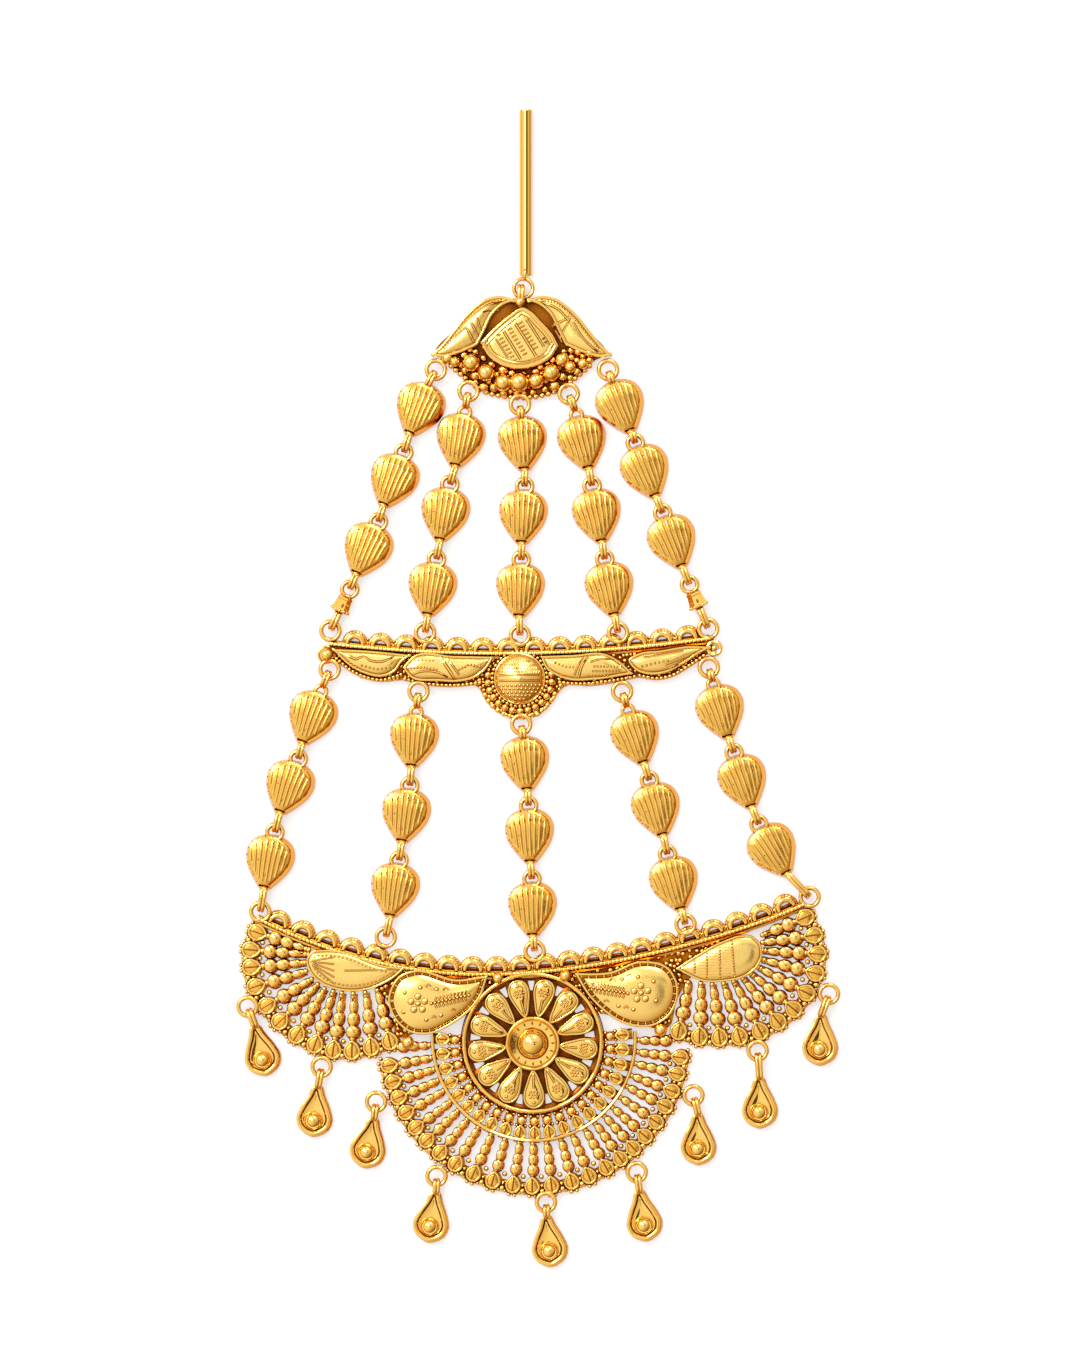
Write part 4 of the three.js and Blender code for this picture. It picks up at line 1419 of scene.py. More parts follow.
@dataclass(frozen=True)
class Scallop:
    """A thick crescent of metal that stands on a bar's edge round a small opening."""

    middle: float = 1.2
    end: float = 0.26
    swell: float = 0.2
    z: float = 1.42
    shoulder: float = 1.66

    def forms(self) -> dict[Gold, Form]:
        """Makes the scallop about the middle of its opening's sill.

        Returns:
            Its bright crescent, the shoulder round it with its dots, and the wall and the sill of
            the opening; the dots, the wall and the sill are painted shade.
        """
        path = arc(self.middle, 84, 276, 8, 1.05)
        fat = np.sin(np.linspace(0.0, math.pi, len(path))) ** 0.8
        crescent = wire(path, self.end + self.swell * fat, 0.24 + 0.1 * fat, closed=False, sides=14)
        outside = arc(self.shoulder, 86, 274, 8, 1.04)
        shoulder = wire(outside, 0.3 + 0.1 * fat[: len(outside)], 0.5, closed=False, sides=12)
        # The wall and the sill darken the opening with painted shade.
        wall = wire(arc(1.22, 86, 274, 9, 1.0), 0.42, 0.5, closed=False, sides=8)
        sill = wire(np.array([(-0.8, 0.18), (0.8, 0.18)]), 0.28, 0.3, closed=False, sides=8)
        dots = [(x, y, 1.2, 0.0, 0.12) for x, y, _ in spaced(arc(1.8, 100, 260, 5), 0.5)]
        return {
            Gold.MIRROR: crescent.moved(z=self.z),
            Gold.POLISHED: shoulder.moved(z=0.8),
            Gold.EMBER_SHADE: wall.moved(z=0.6),
            Gold.SHADED: sill.moved(z=0.45),
            Gold.DARK_SHADE: stamped(ball(1.0, 8, 5), dots),
        }


def notched(path: np.ndarray, radius: float, pitch: float) -> Form:
    """Draws a round wire with a fine notch filed across it at every pitch.

    Args:
        path: Points along the middle of the wire.
        radius: Radius of the wire.
        pitch: Distance between two notches.

    Returns:
        The wire about z = 0.
    """
    stops = spaced(path, pitch / 6)
    depth = np.array([0.7, 0.93, 1.0, 1.0, 1.0, 0.93])[np.arange(len(stops)) % 6]
    return wire(stops[:, :2], radius * (0.3 + 0.7 * depth), radius * depth, closed=False, sides=8)


def grains(path: np.ndarray, pitch: float, radius: float, z: float, closed: bool = False) -> Form:
    """Sets a row of small balls along a path."""
    rows = [(x, y, z, 0.0, radius) for x, y, _ in spaced(path, pitch, closed)]
    return stamped(ball(1.0, 10, 6), rows)


@dataclass(frozen=True)
class Bead:
    """A ball on a plate."""

    x: float
    y: float
    radius: float
    z: float = 1.35


def packed_grains(
    area: np.ndarray,
    radii: Point,
    z: float,
    avoid: Sequence[Bead] = (),
    solids: Sequence[np.ndarray] = (),
    seed: int = 1,
) -> Form:
    """Fills an area with grains that touch but hardly overlap.

    Args:
        area: Outline of the area.
        radii: Smallest and largest radius of a grain.
        z: Height of the middles of the smallest grains.
        avoid: Balls that are there already.
        solids: Outlines that the grains stay out of.
        seed: Seed of the scatter.

    Returns:
        The grains.
    """
    rng = np.random.default_rng(seed)
    low, high = area.min(0), area.max(0)
    spots = [(bead.x, bead.y, bead.radius) for bead in avoid]
    first = len(spots)
    tries = low + rng.random((6000, 2)) * (high - low)
    keep = within(tries, area) & (edge_distance(tries, area) > 0.8 * radii[0])
    for outline in solids:
        keep &= ~within(tries, outline)
    for x, y in tries[keep]:
        radius = radii[0] + (radii[1] - radii[0]) * rng.random() ** 1.5
        taken = np.array(spots) if spots else np.empty((0, 3))
        gap = np.hypot(taken[:, 0] - x, taken[:, 1] - y) - (taken[:, 2] + radius) * 0.76
        if (gap > 0).all():
            spots.append((float(x), float(y), float(radius)))
    rows = [(x, y, z + (r - radii[0]) * 0.6, 0.0, r) for x, y, r in spots[first:]]
    return stamped(ball(1.0, 10, 6), rows)


@dataclass
class Plate(Piece):
    """A soldered plate with raised work and rings for its chains."""

    shift: Point = (0.0, 0.0)

    AT = (0.0, 0.0, 0.0)
    RING = 1.38
    RING_WIRE = 0.34
    RING_Z = 1.5
    FLOOR = 0.7

    def begin(self, rings: Sequence[Point]) -> None:
        """Seats the plate and solders round rings for its chains.

        Args:
            rings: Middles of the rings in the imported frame.
        """
        x, y, turn = self.AT
        self.seat = Seat(x + self.shift[0], y + self.shift[1], turn)
        one = ring(self.RING, self.RING_WIRE, 32, 10)
        self.add(Gold.POLISHED, stamped(one, [(x, y, self.RING_Z) for x, y in rings]))

    def add_floor(self, outline: np.ndarray, finish: Gold, spacing: float = 1.2) -> None:
        """Lays the back plate, painted with shade, that shows darkly between the raised work."""
        plain = crowned(self.FLOOR, 0.0, 1.0)
        self.lay(finish, relief(outline, plain, 0.0, (spacing, spacing)))

    def add_scallops(self, edge: EdgeArc, lift: float) -> None:
        """Stands a row of scallops on an edge, with grains where two of them meet.

        Args:
            edge: The edge.
            lift: Distance from the edge to the middles of the scallops.
        """
        scallop = Scallop().forms()
        places = [(s.x, s.y, 0.0, s.turn) for s in edge.scallops(lift)]
        for finish, form in scallop.items():
            self.lay(finish, stamped(form, places))
        between = []
        for a, b in zip(places, places[1:]):
            x, y = (a[0] + b[0]) / 2, (a[1] + b[1]) / 2
            between += [(x, y + 0.3, 1.0, 0.0, 0.3), (x, y + 0.85, 0.8, 0.0, 0.22)]
        self.lay(Gold.POLISHED, stamped(ball(1.0, 10, 6), between))

    def add_edge(self, line: np.ndarray) -> None:
        """Lays the notched wire along a bar's upper edge, on a wide low band of painted shade.

        Args:
            line: Points along the edge.
        """
        cord = notched(line, 0.27, 0.62).moved(z=1.78)
        low = line - np.array([0.0, 0.45])
        band = wire(line, 0.62, 0.62, closed=False).moved(z=0.9)
        ledge = wire(low, 0.42, 0.55, closed=False).moved(z=1.05)
        self.lay(Gold.POLISHED, cord, ledge)
        self.lay(Gold.EMBER_SHADE, band)

    def add_grain_row(self, line: np.ndarray, pitch: float, radius: float, z: float) -> None:
        """Sets a row of grains on a low wire painted with shade.

        Args:
            line: Points along the row.
            pitch: Distance between two grains.
            radius: Their radius.
            z: Height of their middles.
        """
        bed = wire(line, radius * 0.9, radius * 0.9, closed=False).moved(z=z - radius * 0.6)
        self.lay(Gold.POLISHED, grains(line, pitch, radius, z))
        self.lay(Gold.EMBER_SHADE, bed)


@dataclass
class Crest(Plate):
    """The crest: two swept leaves over a shield, with a border of balls."""

    node: str = "crest"

    AT = (-2.7, 53.3, 0.0)
    KNOB = Bead(0.0, 4.1, 0.8, 2.1)
    LEAF_CORNERS = (0, 7, 10)
    SHIELD_CORNERS = (3, 9)
    GRAINS_SEED = 3
    LEAF = (
        (-0.5, 4.35), (-3.0, 5.05), (-5.0, 4.65), (-6.6, 3.6), (-8.2, 2.1), (-10.1, -0.3), (-11.8, -2.35),
        (-13.4, -3.85), (-11.6, -4.15), (-9.3, -3.6), (-6.3, -2.3), (-5.3, -0.3), (-3.9, 2.4), (-2.2, 3.8),
    )
    BACK = (
        (-12.4, -3.9), (-11.0, -4.6), (-10.2, -5.5), (-8.4, -7.0), (-5.7, -9.0), (-2.1, -9.9), (2.4, -9.9),
        (5.4, -9.3), (8.7, -6.8), (10.4, -5.4), (11.2, -4.6), (12.6, -3.9), (7.4, 1.6), (3.4, 4.1),
        (-3.4, 4.1), (-7.4, 1.6),
    )
    SHIELD = (
        (0.4, 3.35), (-1.5, 2.25), (-3.8, 0.35), (-5.95, -1.9), (-4.7, -4.1), (-2.6, -5.45), (-0.1, -5.95),
        (2.5, -5.45), (4.6, -4.3), (5.8, -2.4), (4.8, -0.6), (3.2, 1.2), (1.6, 2.8),
    )
    BALLS = (
        Bead(-9.75, -4.8, 0.65), Bead(-7.35, -4.95, 1.15), Bead(-5.1, -6.45, 1.15), Bead(-2.55, -7.95, 1.15),
        Bead(-0.15, -7.9, 1.3), Bead(2.4, -7.65, 1.05), Bead(4.65, -6.45, 1.15), Bead(6.3, -4.5, 0.95),
        Bead(7.5, -5.6, 0.75), Bead(9.4, -5.1, 0.7),
    )
    FILL = (
        (-11.6, -4.1), (-10.3, -5.4), (-8.2, -7.2), (-5.6, -9.1), (-2.1, -10.0), (2.4, -10.0), (5.6, -9.1),
        (8.6, -7.0), (10.4, -5.4), (11.6, -4.1), (6.6, -2.6), (4.5, -4.3), (0.0, -5.9), (-4.6, -4.1),
        (-6.3, -2.4),
    )
    LEFT_MARKS = (
        Mark(((-8.1, 0.48), (-6.9, -1.93)), 0.17, 0.2),
        Mark(((-7.35, 1.08), (-6.1, -1.33)), 0.15, 0.18),
        Mark(((-6.45, 1.8), (-5.7, -0.7)), 0.11),
        Mark(((-9.9, -1.3), (-7.95, 0.4)), 0.15, 0.2),
        Mark(((-9.0, 0.2), (-6.9, 2.2), (-4.9, 3.6), (-3.0, 4.1)), 0.11),
        Mark(((-5.6, 2.6), (-4.4, 2.9), (-3.2, 2.9)), 0.09),
    )
    RIGHT_MARKS = (
        Mark(((4.8, 0.48), (7.5, 1.9)), 0.17, 0.2),
        Mark(((7.5, 1.8), (6.0, -1.3)), 0.13),
        Mark(((7.95, 1.1), (9.6, -1.5), (11.7, -3.4)), 0.12),
        Mark(((3.4, 4.1), (5.7, 3.0), (7.2, 1.4)), 0.15, 0.2),
        Mark(((5.3, -0.1), (6.3, -1.9)), 0.09),
    )
    SHIELD_MARKS = (
        Mark(((-2.5, -0.2), (0.1, -4.5)), 0.17, 0.2),
        Mark(((-0.7, 0.9), (2.4, -4.0)), 0.17, 0.2),
        Mark(((1.0, 1.5), (3.6, -2.6)), 0.15, 0.18),
        Mark(((-3.7, -1.3), (-1.8, -4.3)), 0.09),
    )

    def build(self, rings: Sequence[Point]) -> None:
        """Raises the crest.

        Args:
            rings: Middles of the rings that carry the upper chains.
        """
        self.begin(rings)
        # The back plate paints the deep shade between the leaves and the shield.
        self.add_floor(turned_left(curve(self.BACK, step=0.5)), Gold.BROWN_SHADE)
        self._add_leaves()
        self._add_shield()
        knob = ball(self.KNOB.radius, 24, 14).moved(self.KNOB.x, self.KNOB.y, self.KNOB.z)
        self.lay(Gold.BRIGHT, knob)
        eye = upright_loop(0.0, 2.6, 0.95, 0.36, 0.5).moved(0.15, 6.5, 1.5)
        self.lay(Gold.POLISHED, eye)
        self._add_border()

    def _add_leaves(self) -> None:
        """Raises the two swept leaves with their dotted outer bands."""
        mirrored = tuple((0.45 - x, y) for x, y in self.LEAF)
        for rows, marks, side in ((self.LEAF, self.LEFT_MARKS, -1), (mirrored, self.RIGHT_MARKS, 1)):
            outer = curve(rows[1:7], closed=False)
            along = np.gradient(outer, axis=0)
            along /= np.linalg.norm(along, axis=1)[:, None]
            inward = np.column_stack([along[:, 1], -along[:, 0]]) * side
            band = dotted(outer + inward * 0.75, 0.46, 0.14)
            leaf = Leaf(rows, self.LEAF_CORNERS, edge=1.85, crown=0.5, reach=1.8, rim=0.24)
            panel = inset(leaf.loop(), 0.45)
            band = [mark for mark in band if mark.lies_in(panel)]
            self.lay_all(replace(leaf, marks=(*marks, *band)).forms(Gold.SATIN))

    def _add_shield(self) -> None:
        """Raises the shield with its wide rim and hatched panel, edged inside with a line of painted shade.
        """
        hatching = []
        for column in range(4):
            for row in range(8):
                x = -3.2 + column * 1.62 + row * 0.33
                y = -0.9 + column * 0.92 - row * 0.53
                hatching.append(Mark(((x - 0.32, y - 0.16), (x + 0.36, y + 0.2)), 0.07, 0.12))
        shield = Leaf(self.SHIELD, self.SHIELD_CORNERS, edge=2.1, crown=0.3, reach=1.2, rim=0.34)
        panel = inset(shield.loop(), 0.95)
        marks = [mark for mark in (*self.SHIELD_MARKS, *hatching) if mark.lies_in(panel)]
        self.lay_all(replace(shield, marks=tuple(marks)).forms(Gold.SATIN))
        self.lay(Gold.POLISHED, wire(panel, 0.13, 0.14).moved(z=2.3))
        self.lay(Gold.DARK_SHADE, wire(inset(shield.loop(), 1.1), 0.16, 0.06).moved(z=2.32))

    def _add_border(self) -> None:
        """Sets the large balls below the shield and packs grains round them, on a bed of painted shade."""
        large = [(bead.x, bead.y, 1.75, 0.0, 1.2 * bead.radius) for bead in self.BALLS]
        self.lay(Gold.BRIGHT, stamped(ball(1.0, 28, 18), large))
        area = turned_left(curve(self.FILL, step=0.5))
        solids = [turned_left(curve(self.SHIELD, corners=self.SHIELD_CORNERS))]
        filler = packed_grains(area, (0.55, 1.0), 1.1, self.BALLS, solids, self.GRAINS_SEED)
        self.lay(Gold.POLISHED, filler)
        rim = curve(self.FILL[1:9], closed=False)
        self.lay(Gold.POLISHED, grains(rim, 0.95, 0.48, 0.95))
        bed = relief(inset(area, 0.25), crowned(0.95, 0.0, 1.0), 0.0, (1.2, 1.2))
        self.lay(Gold.DARK_SHADE, bed)


@dataclass
class CrossBar(Plate):
    """The bar between the upper and lower chains, with four leaves and a boss."""

    node: str = "cross_bar"

    AT = (-2.8, 4.6, 0.78)
    EDGE = EdgeArc(pitch=3.84, count=14, middle=0.35, low=0.2, radius=219, sway=0)
    LOWER = (
        (-28.6, 0.4), (-27.4, -0.6), (-24.7, -2.65), (-22.7, -3.45), (-20.7, -3.8), (-17.5, -3.6),
        (-13.4, -4.5), (-10.4, -4.75), (-6.3, -4.75), (-5.0, -7.0), (-2.6, -9.0), (0.0, -9.6),
        (2.8, -9.1), (4.9, -7.2), (6.6, -4.95), (10.6, -4.85), (13.6, -4.5), (17.6, -3.7),
        (20.3, -4.0), (22.7, -3.7), (24.8, -2.6), (27.4, -0.9), (28.9, 0.2),
    )
    LEAVES = (
        ((-28.1, 1.3), (-25.4, -1.3), (-23.2, -2.5), (-20.6, -3.0), (-18.7, -2.3), (-17.5, -0.8),
         (-16.1, 0.2), (-22.0, 0.9)),
        ((-17.5, -1.6), (-16.4, -3.1), (-12.0, -3.8), (-9.0, -3.9), (-6.8, -3.4), (-4.9, -2.0),
         (-3.8, -0.2), (-9.8, 0.0), (-15.8, 0.1)),
        ((3.2, -0.2), (3.9, -2.0), (5.5, -3.2), (7.6, -3.9), (11.0, -3.9), (17.0, -3.1), (15.2, -1.3),
         (12.9, 0.0), (8.0, -0.1)),
        ((16.3, -1.0), (17.2, -2.4), (19.3, -3.2), (21.9, -3.0), (24.4, -1.8), (27.1, -0.1),
         (28.8, 0.8), (25.6, 1.0), (21.1, 0.4), (17.9, 0.0)),
    )
    CORNERS = ((0, 6), (6, 0), (0, 5), (6,))
    BELOW = (
        ((-27.4, -0.2), (-25.0, -2.1), (-22.8, -3.1), (-20.6, -3.5), (-18.3, -2.9)),
        ((-17.2, -3.4), (-13.0, -4.25), (-9.0, -4.4), (-6.0, -4.1)),
        ((6.0, -4.2), (9.4, -4.45), (13.4, -4.1), (17.2, -3.5)),
        ((18.0, -3.3), (20.4, -3.8), (22.8, -3.4), (25.0, -2.2), (27.6, -0.5)),
    )
    BOSS = 3.7
    BOSS_Y = -3.6
    KNOB_AT = (-28.85, 0.4)
    CURL_AT = (29.2, 0.6)
    GRAINS_SEED = 5

    @staticmethod
    def _marks() -> tuple[tuple[Mark, ...], ...]:
        """Draws the marks of the four leaves.

        Returns:
            The marks of each leaf, from left to right.
        """
        first = (
            Mark(
                ((-25.5, 0.2), (-24.5, -0.3), (-23.3, 0.0), (-22.4, -0.5), (-20.4, -0.7), (-18.6, 0.0)),
                0.14,
            ),
            *strokes(((-23.6, -1.3), (-21.4, -1.9), (-19.4, -1.7)), 0.6, 0.34, 70.0),
            *dotted(((-26.2, -0.2), (-24.4, -1.5)), 0.5, 0.1),
        )
        second = (
            *dotted(((-16.7, -1.8), (-14.4, -1.7), (-12.4, -2.0)), 0.5, 0.13),
            Mark(((-16.6, -2.9), (-14.8, -2.3), (-12.1, -2.5), (-10.7, -3.2)), 0.13),
            Mark(((-11.9, -0.1), (-9.5, -3.7)), 0.2, 0.2),
            Mark(((-11.0, -0.1), (-9.0, -2.9)), 0.13, 0.16),
            *dotted(((-9.0, -2.1), (-7.6, -1.4), (-5.9, -1.7)), 0.5, 0.14),
            *strokes(((-15.6, -0.6), (-12.9, -0.7)), 0.6, 0.3, 60.0),
        )
        third = (
            *strokes(((5.4, -1.3), (7.0, -1.9), (8.6, -2.0)), 0.6, 0.36, 65.0),
            Mark(((10.4, -0.5), (9.5, -1.5), (8.8, -3.5)), 0.16, 0.18),
            Mark(((9.8, -0.4), (8.9, -1.5), (8.2, -3.2)), 0.1),
            *strokes(((11.2, -1.9), (15.1, -2.0)), 0.48, 0.4, 75.0),
            *strokes(((11.0, -2.6), (14.9, -2.6)), 0.48, 0.36, 75.0),
            *dotted(((10.3, -3.2), (14.2, -3.3)), 0.5, 0.11),
            Mark(((10.6, -1.2), (12.6, -0.8), (14.4, -1.1)), 0.1),
        )
        fourth = (
            *strokes(((18.4, -2.0), (20.4, -1.5), (22.2, -1.2)), 0.6, 0.4, 70.0),
            Mark(((22.3, -2.3), (25.3, -1.1)), 0.12),
            Mark(((21.8, -1.8), (24.9, -0.6)), 0.1),
            Mark(((18.6, -0.7), (21.4, -0.3), (24.6, 0.2)), 0.12),
        )
        return first, second, third, fourth

    def build(self, rings: Sequence[Point]) -> None:
        """Raises the bar.

        Args:
            rings: Middles of the rings that carry the chains.
        """
        self.begin(rings)
        top = self.EDGE.path(29.2, -28.8)
        lower = curve(self.LOWER, closed=False, step=0.6)
        # The back plate is painted with half shade.
        self.add_floor(turned_left(np.vstack([lower, top[::2]])), Gold.EMBER_SHADE, 1.6)
        for rows, corners, marks in zip(self.LEAVES, self.CORNERS, self._marks()):
            leaf = Leaf(rows, corners, edge=1.85, crown=0.55, reach=1.3, rim=0.2, marks=marks)
            self.lay_all(leaf.forms(Gold.SATIN))
        self.add_scallops(self.EDGE, 0.35)
        self.add_edge(self.EDGE.path(-28.4, 28.6))
        self._add_boss()
        self._add_ends()
        self._add_grains()

    def _add_boss(self) -> None:
        """Raises the domed boss with its hatching, its lines and its stippled foot."""
        loop = turned_left(arc(self.BOSS, 0, 360, 7)[:-1])
        marks = [Mark(((-3.1, y), (3.1, y)), 0.1, 0.12) for y in (0.55, -0.25)]
        for row in range(4):
            for column in range(-8, 9):
                x, y = column * 0.36, 1.05 + row * 0.52
                marks.append(Mark(((x - 0.06, y - 0.13), (x + 0.06, y + 0.13)), 0.07, 0.08))
        for row in range(5):
            for column in range(-5, 6):
                marks.append(Mark(((column * 0.6 + (row % 2) * 0.3, -0.95 - row * 0.52),), 0.2, 0.16))

        def dome(_: np.ndarray, away: np.ndarray) -> np.ndarray:
            """Gives the height of the dome at distances from its edge."""
            t = np.clip(away / self.BOSS, 0, 1)
            return 1.7 + 2.1 * np.sqrt(np.clip(1 - (1 - t) ** 2, 0, 1)) * (0.6 + 0.4 * t)

        panel = inset(loop, 0.45)
        self._lay_on_boss(Gold.SATIN, relief(loop, dome, 0.0, (0.3, 0.3), (0.15, 0.3)))
        for mark in marks:
            if mark.lies_in(panel):
                self._lay_on_boss(Gold.POLISHED, mark.raised(loop, dome))
                # Each mark's painted shadow.
                self._lay_on_boss(Gold.DARK_SHADE, mark.shadow(loop, dome))
        around = grains(arc(self.BOSS + 0.4, 0, 360, 6)[:-1], 0.66, 0.34, 1.5, True)
        rim = ring(self.BOSS, 0.17, 56, 8).moved(z=1.85)
        self._lay_on_boss(Gold.POLISHED, around, rim)

    def _lay_on_boss(self, finish: Gold, *forms: Form) -> None:
        """Keeps forms made about the boss's middle."""
        self.lay(finish, *(form.moved(0, self.BOSS_Y) for form in forms))

    def _add_ends(self) -> None:
        """Sets the knob at the left end and the curl at the right one."""
        knob = ball(1.1, 24, 14).moved(*self.KNOB_AT, 1.35)
        collar = ring(1.2, 0.2, 28, 8).moved(*self.KNOB_AT, 1.3)
        curl = ring(0.95, 0.34, 24, 8).moved(*self.CURL_AT, 1.4)
        bud = ball(0.5, 16, 10).moved(*self.CURL_AT, 1.5)
        self.lay(Gold.BRIGHT, knob, bud)
        self.lay(Gold.POLISHED, collar, curl)

    def _add_grains(self) -> None:
        """Sets the rows of grains below the leaves and the cluster below the boss."""
        for rows in self.BELOW:
            self.add_grain_row(curve(rows, closed=False), 0.64, 0.35, 1.35)
        foot = np.array([0.0, self.BOSS_Y])
        self.lay(Gold.BRIGHT, grains(arc(4.8, -98, 98, 4) + foot, 1.16, 0.6, 1.45))
        self.lay(Gold.BRIGHT, grains(arc(5.7, -66, 66, 4) + foot, 1.0, 0.5, 1.05))
        lower = curve(self.LOWER, closed=False, step=0.6)
        upper = self.EDGE.path(28.0, -27.6, -0.7)[::2]
        area = turned_left(np.vstack([lower, upper]))
        solids = [turned_left(curve(rows, corners=c)) for rows, c in zip(self.LEAVES, self.CORNERS)]
        boss = Bead(0.0, self.BOSS_Y, self.BOSS + 1.0)
        filler = packed_grains(area, (0.26, 0.42), 1.1, [boss], solids, self.GRAINS_SEED)
        self.lay(Gold.POLISHED, filler)


# ---------------- fan
@dataclass(frozen=True)
class SpokeBead:
    """A bead on a spoke: its distance down, its radius and its length as a share of its width."""

    down: float
    radius: float
    long: float


@dataclass(frozen=True)
class Spoke:
    """An openwork spoke: a bezel, two beads and a thin double rod, down its own -Y."""

    bezel: float = 1.28
    beads: tuple[SpokeBead, ...] = (
        SpokeBead(2.85, 1.0, 0.98),
        SpokeBead(4.75, 0.78, 1.3),
        SpokeBead(6.6, 0.5, 1.8),
    )
    rim: float = 0.16
    z: float = 1.15
    rod: float = 0.56

    def outline(self) -> np.ndarray:
        """Draws the bezel: round outside, pointed toward the beads.

        Returns:
            Its outline, counter-clockwise.
        """
        r = self.bezel
        rows = [(0.0, -1.3 * r), (0.66 * r, -0.75 * r), (r, 0.0), (0.71 * r, 0.75 * r), (0.0, 1.06 * r)]
        rows += [(-x, y) for x, y in reversed(rows[1:-1])]
        return turned_left(curve(rows, corners=(0,), step=0.28))

    def bezel_forms(self) -> dict[Gold, Form]:
        """Makes the bezel about its own middle.

        Returns:
            Its face, darker with painted shade, its rim wire with fine ticks, and the seam and line of
            painted shade inside the rim.
        """
        loop = self.outline()
        plain = crowned(1.22, 0.22, 0.8)
        seam = Mark(((0.0, -0.9 * self.bezel), (0.0, 0.8 * self.bezel)), 0.04)
        starts = [(x, y) for x in (0.2, -0.5) for y in (-0.5, 0.0, 0.5)]
        ticks = [Mark(((x, y), (x + 0.28, y + 0.16)), 0.06, 0.08) for x, y in starts]
        marks = [tick for tick in ticks if tick.lies_in(inset(loop, 0.3))]
        rim = wire(inset(loop, self.rim), 1.15 * self.rim, 0.14, sides=8).moved(z=1.44)
        groove = wire(inset(loop, 2.2 * self.rim), 0.07, 0.05).moved(z=1.33)
        return {
            Gold.FLUTED_SHADE: relief(loop, plain, 0.35, (0.35, 0.35), (0.14,)),
            Gold.POLISHED: gathered([rim, *(mark.raised(loop, plain) for mark in marks)]),
            Gold.DARK_SHADE: gathered([groove, seam.shadow(loop, plain)]),
        }

    def forms(self, length: float, with_bezel: bool = True) -> dict[Gold, Form]:
        """Makes the whole spoke.

        Args:
            length: Distance from the middle of the bezel to the inner end of the rod.
            with_bezel: False for a spoke that ends in its first bead.

        Returns:
            Its forms by finish.
        """
        made = self.bezel_forms() if with_bezel else {}
        start = self.beads[1].down
        parts = []
        for side in (-0.2, 0.2):
            path = np.array([(side, -start), (side, -length)])
            parts.append(wire(path, 0.19, 0.26, closed=False, sides=7).moved(z=self.z - 0.1))
        knots = [(0.0, -length + 0.45, self.z, 0.0, 0.46)]
        knots += [(0.0, -1.78, self.z - 0.1, 0.0, 0.5), (0.0, -3.72, self.z - 0.1, 0.0, 0.46)]
        parts.append(stamped(ball(1.0, 10, 6), knots))
        if with_bezel:
            parts.append(made[Gold.POLISHED])
        made[Gold.POLISHED] = gathered(parts)
        beads = []
        line = np.array([(0.0, -1.5), (0.0, -length)])
        # Skirts of painted half shade under the rod, the beads and the bezel.
        shade_skirts = [wire(line, self.rod, 0.5, closed=False).moved(z=0.55)]
        for bead in self.beads:
            if bead.down < length - 0.6:
                one = ball(bead.radius, 16, 10).scaled(1.0, bead.long, 0.45)
                beads.append(one.moved(0, -bead.down, self.z + 0.25))
                skirt = ball(bead.radius + 0.22, 14, 8).scaled(1.0, bead.long, 0.6)
                shade_skirts.append(skirt.moved(0, -bead.down, 0.75))
        if with_bezel:
            shade_skirts.append(relief(inset(self.outline(), -0.2), crowned(0.85, 0.0, 1.0), 0.1, (0.8, 0.8)))
        made[Gold.BRIGHT] = gathered(beads)
        made[Gold.EMBER_SHADE] = gathered(shade_skirts)
        return made


@dataclass(frozen=True)
class SpokeAt:
    """A wing spoke's bezel and the root of its rod."""

    x: float
    y: float
    root_x: float
    root_y: float


